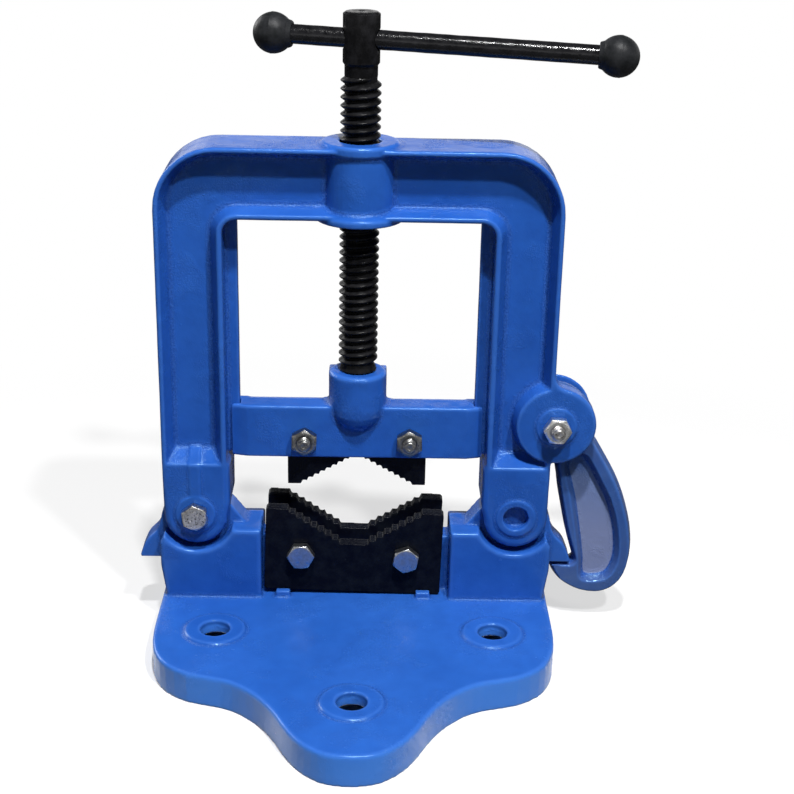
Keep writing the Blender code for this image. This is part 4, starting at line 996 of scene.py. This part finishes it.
def knob(name, node, centre, side):
    """A moulded ball with a short neck towards the screw and the faint ridge of its mould."""
    mouth = knob_radius * math.cos(math.asin(knob_neck_radius / knob_radius)) + knob_neck_length
    bore = bar_radius + knob_bore_gap
    outline = [
        (0.0, -knob_bore_depth),
        (bore, -knob_bore_depth),
        (bore, mouth - knob_mouth_chamfer),
        (bore + knob_mouth_chamfer, mouth),
        (knob_neck_radius - knob_mouth_round, mouth),
        (knob_neck_radius, mouth - knob_mouth_round),
    ]
    start = math.asin(knob_neck_radius / knob_radius) + knob_neck_turn
    for k in range(knob_rows + 1):
        angle = start + (math.pi - start) * k / knob_rows
        off_seam = (math.cos(angle) * knob_radius + knob_seam_place) / knob_seam_width
        ridge = knob_seam_height * math.exp(-off_seam * off_seam)
        reach = knob_radius + ridge - knob_seam_height
        outline.append((reach * math.sin(angle) if k < knob_rows else 0.0, reach * math.cos(angle)))
    mesh = turned(outline)
    points = np.zeros(len(mesh.vertices) * 3)
    mesh.vertices.foreach_get("co", points)
    points = points.reshape(-1, 3)
    turn = np.arctan2(points[:, 1], points[:, 0])
    lobes = 1.0 + np.cos(knob_lobes * turn + centre * knob_lag_rate)
    uneven = 1.0 - knob_dent_share * lobes * np.abs(np.sin(points[:, 2] * knob_dent_rate))
    points *= uneven[:, None]
    mesh.vertices.foreach_set("co", points.ravel())
    quarter = Matrix.Rotation(-side * math.pi / 2, 4, "Y")
    mesh.transform(bar_place() @ Matrix.Translation((centre, 0.0, 0.0)) @ quarter)
    piece = new_piece(name, mesh)
    dressed(piece, "knob")
    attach(piece, "bar_body")
    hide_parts(node)


knob("ball_left", "knob_left", knob_left_centre, -1.0)
knob("ball_right", "knob_right", knob_right_centre, 1.0)


# Fasteners: every one lies along Y


def hex_turn(node, centre):
    """How far the CAD hexagon is turned, read from its farthest corner."""
    points = np.array([v.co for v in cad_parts[node].data.vertices])
    sides = points[:, [0, 2]] - np.array([centre.x, centre.z])
    reach = np.hypot(sides[:, 0], sides[:, 1])
    corner = sides[reach > reach.max() - corner_slack][0]
    return math.atan2(corner[1], corner[0])


def along_y(centre_x, seat_y, centre_z, front, turn):
    """Stands a piece made along Z on a seat; front says that it faces the viewer's side."""
    tip = Matrix.Rotation(math.pi / 2 if front else -math.pi / 2, 4, "X")
    spin = turn if front else -turn
    return Matrix.Translation((centre_x, seat_y, centre_z)) @ tip @ Matrix.Rotation(spin, 4, "Z")


def bolt(name, node, body, front, look="zinc"):
    """A hexagon bolt: head, shank and a rolled thread at its end."""
    low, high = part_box(node)
    length = high.y - low.y
    shank = length - hex_head_height
    seat = low.y + hex_head_height if front else high.y - hex_head_height
    centre = (low + high) / 2
    head = hexagon_piece(look, hex_head_height)
    turns = round(bolt_thread_length / bolt_pitch)
    thread_low = -shank + bolt_thread_start
    core = bolt_radius - bolt_thread_depth - bolt_core_gap
    thread_end = thread_low + turns * bolt_pitch
    plain = bolt_radius - bolt_shank_gap
    outline = [
        (0.0, -shank + bolt_dimple_depth),
        (bolt_dimple_radius - bolt_dimple_slope, -shank + bolt_dimple_depth),
        (bolt_dimple_radius, -shank),
        (core - bolt_end_ring, -shank),
        (core, -shank + bolt_end_chamfer),
        (core, thread_end - bolt_runout[0]),
        (plain, thread_end + bolt_runout[1]),
        (plain, bolt_shank_sink),
        (0.0, bolt_shank_sink),
    ]
    stem = new_piece("stem", turned(outline, bore_sides))
    dressed(stem, look, bolt_edge_round, bolt_edge_steps)
    crest = bolt_radius - bolt_core_gap
    thread = thread_piece(look, crest, bolt_thread_depth, bolt_pitch, thread_low, turns)
    piece = joined(name, [head, stem, thread])
    piece.data.transform(along_y(centre.x, seat, centre.z, front, hex_turn(node, centre)))
    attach(piece, body)
    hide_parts(node)


def nut(name, node, body, front, look="zinc"):
    """A hexagon nut with chamfers on both faces."""
    low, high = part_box(node)
    centre = (low + high) / 2
    piece = hexagon_piece(look, high.y - low.y, nut_bore_radius, 1.0, nut_face_share)
    piece.name = name
    seat = high.y if front else low.y
    piece.data.transform(along_y(centre.x, seat, centre.z, front, hex_turn(node, centre)))
    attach(piece, body)
    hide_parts(node)


bolt("hinge_pivot_bolt", "hinge_bolt", "base_body", True, "zinc_soiled")
nut("hinge_pivot_nut", "hinge_nut", "base_body", False)
bolt("latch_pivot_bolt", "latch_bolt", "yoke_body", False, "zinc_soiled")
nut("latch_pivot_nut", "latch_nut", "yoke_body", True, "zinc_bright")
for side in ("left", "right"):
    bolt(f"upper_jaw_screw_{side}", f"upper_jaw_bolt_{side}", "crosshead_body", False, "zinc_dark")
    nut(f"upper_jaw_hex_{side}", f"upper_jaw_nut_{side}", "crosshead_body", True, "zinc_dark")
    bolt(f"lower_jaw_screw_{side}", f"lower_jaw_bolt_{side}", "base_body", True)
    nut(f"lower_jaw_hex_{side}", f"lower_jaw_nut_{side}", "base_body", False)

pin_low, pin_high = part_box("retaining_pin")
pin_half = (pin_high.x - pin_low.x) / 2
pin_radius = (pin_high.z - pin_low.z) / 2
pin_outline = [
    (0.0, -pin_half),
    (pin_radius * pin_end_share, -pin_half + pin_end_drop),
    (pin_radius, -pin_half + pin_dome),
    (pin_radius, pin_half - pin_dome),
    (pin_radius * pin_end_share, pin_half - pin_end_drop),
    (0.0, pin_half),
]
pin_mesh = turned(pin_outline, pin_sides)
pin_place = Matrix.Translation((pin_low + pin_high) / 2)
pin_mesh.transform(pin_place @ Matrix.Rotation(math.pi / 2, 4, "Y"))
keeper_pin = new_piece("keeper_pin", pin_mesh)
dressed(keeper_pin, "pin")
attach(keeper_pin, "crosshead_body")
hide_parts("retaining_pin")


# Floor, world, lamps and camera

floor_half = 6.0
floor_centre = (0.0, -60.0 * MM, 0.0)
floor_pale = 0.82
shadow_reach = 550.0 * MM
shadow_start_share = 0.5
base_reach = 105.0 * MM
base_fade = 30.0 * MM
base_white = 0.62
mirror_reach = 125.0 * MM
mirror_fade = 40.0 * MM
stray_grey = 0.12
studio_level = 0.06
quiet_wall = 0.04
white_band_top = 0.17
quiet_band_low = 0.33
white = colour(1.0, 1.0, 1.0)


def grey(level):
    """A grey from its linear level."""
    return colour(level, level, level)


def seen_directly(w, reach):
    """1 for rays from the camera or through glass, and for mirrored ones near the vise."""
    path = w.add("ShaderNodeLightPath").outputs
    near = w.span(reach, mirror_reach, mirror_reach + mirror_fade, 1.0, 0.0, smooth=True)
    shiny = w.maths("MULTIPLY", path["Is Glossy Ray"], near)
    shiny = w.maths("MAXIMUM", shiny, path["Is Transmission Ray"])
    return w.maths("MAXIMUM", path["Is Camera Ray"], shiny)


def floor_look():
    """White to the eye with a soft shadow near the vise, and a quiet grey to stray light."""
    material = bpy.data.materials.new("pale_floor")
    material.use_nodes = True
    tree = material.node_tree
    tree.nodes.clear()
    w = Wiring(tree)
    place = w.add("ShaderNodeTexCoord").outputs["Object"]
    reach = w.vector("LENGTH", w.vector("SUBTRACT", place, floor_centre))
    under = w.span(reach, base_reach, base_reach + base_fade, 0.0, base_white, smooth=True)
    start = shadow_reach * shadow_start_share
    far = w.maths("MAXIMUM", under, w.span(reach, start, shadow_reach, smooth=True))
    pale = w.add("ShaderNodeBsdfDiffuse", {"Color": grey(floor_pale)}).outputs[0]
    glow = w.add("ShaderNodeEmission", {"Color": white, "Strength": 1.0}).outputs[0]
    shown = w.add("ShaderNodeMixShader", {0: far, 1: pale, 2: glow}).outputs[0]
    stray = w.add("ShaderNodeBsdfDiffuse", {"Color": grey(stray_grey)}).outputs[0]
    mixed = w.add("ShaderNodeMixShader", {0: seen_directly(w, reach), 1: stray, 2: shown}).outputs[0]
    w.add("ShaderNodeOutputMaterial", {"Surface": mixed})
    return material


floor_mesh = bpy.data.meshes.new("studio_floor")
corners = [
    (-floor_half, -floor_half, 0.0),
    (floor_half, -floor_half, 0.0),
    (floor_half, floor_half, 0.0),
    (-floor_half, floor_half, 0.0),
]
floor_mesh.from_pydata(corners, [], [(0, 1, 2, 3)])
floor_mesh.materials.append(floor_look())
studio_floor = new_piece("studio_floor", floor_mesh)


def studio_world():
    """White to the eye; mirrored rays see white only low down, and stray light is dim."""
    world = bpy.data.worlds.new("studio")
    world.use_nodes = True
    w = Wiring(world.node_tree)
    backdrop = world.node_tree.nodes["Background"]
    backdrop.inputs["Color"].default_value = white
    sky = w.add("ShaderNodeTexCoord").outputs["Generated"]
    height = w.add("ShaderNodeSeparateXYZ", {0: sky}).outputs["Z"]
    mirrored = w.span(height, white_band_top, quiet_band_low, 1.0, quiet_wall, smooth=True)
    path = w.add("ShaderNodeLightPath").outputs
    level = studio_level
    for ray, strength in (
        ("Is Glossy Ray", mirrored),
        ("Is Transmission Ray", 1.0),
        ("Is Camera Ray", 1.0),
    ):
        values = {0: path[ray], 2: level, 3: strength}
        level = w.add("ShaderNodeMix", values, data_type="FLOAT").outputs[0]
    w.link(level, backdrop.inputs["Strength"])
    return world


scene.world = studio_world()

# Lamps: place and side of the square in metres, and watts
lamp_aim = Vector((0.0, -30.0 * MM, 130.0 * MM))
lamps = {
    "right_lamp": ((0.47, -0.85, 1.49), 0.08, 17.5),
    "high_lamp": ((0.083, -0.69, 1.80), 0.08, 31.0),
    "front_lamp": ((-0.4, -1.7, 0.7), 1.0, 1.0),
    "rear_lamp": ((-1.3, 1.1, 0.9), 0.8, 12.0),
}


def lamp(name, place, size, power):
    """A square soft box that faces the middle of the vise."""
    light = bpy.data.lights.new(name, "AREA")
    light.shape = "SQUARE"
    light.size = size
    light.energy = power
    holder = bpy.data.objects.new(name, light)
    scene.collection.objects.link(holder)
    holder.location = place
    holder.rotation_euler = (lamp_aim - Vector(place)).to_track_quat("-Z", "Y").to_euler()


for name, (place, size, power) in lamps.items():
    lamp(name, place, size, power)


def photo_camera():
    """The camera that took the photograph, as the fit found it."""
    forward = Vector(
        (
            math.sin(camera_yaw) * math.cos(camera_pitch),
            math.cos(camera_yaw) * math.cos(camera_pitch),
            -math.sin(camera_pitch),
        )
    )
    level_right = Vector((math.cos(camera_yaw), -math.sin(camera_yaw), 0.0))
    level_up = level_right.cross(forward)
    right = math.cos(camera_roll) * level_right + math.sin(camera_roll) * level_up
    up = -math.sin(camera_roll) * level_right + math.cos(camera_roll) * level_up
    camera = bpy.data.objects.new("photo_camera", bpy.data.cameras.new("photo_camera"))
    scene.collection.objects.link(camera)
    stand = Matrix((right, up, -forward)).transposed().to_4x4()
    stand.translation = camera_place
    camera.matrix_world = stand
    camera.data.sensor_width = sensor_width
    camera.data.lens = sensor_width * focal_pixels / photo_width
    return camera


scene.camera = photo_camera()
scene.view_settings.view_transform = "Standard"
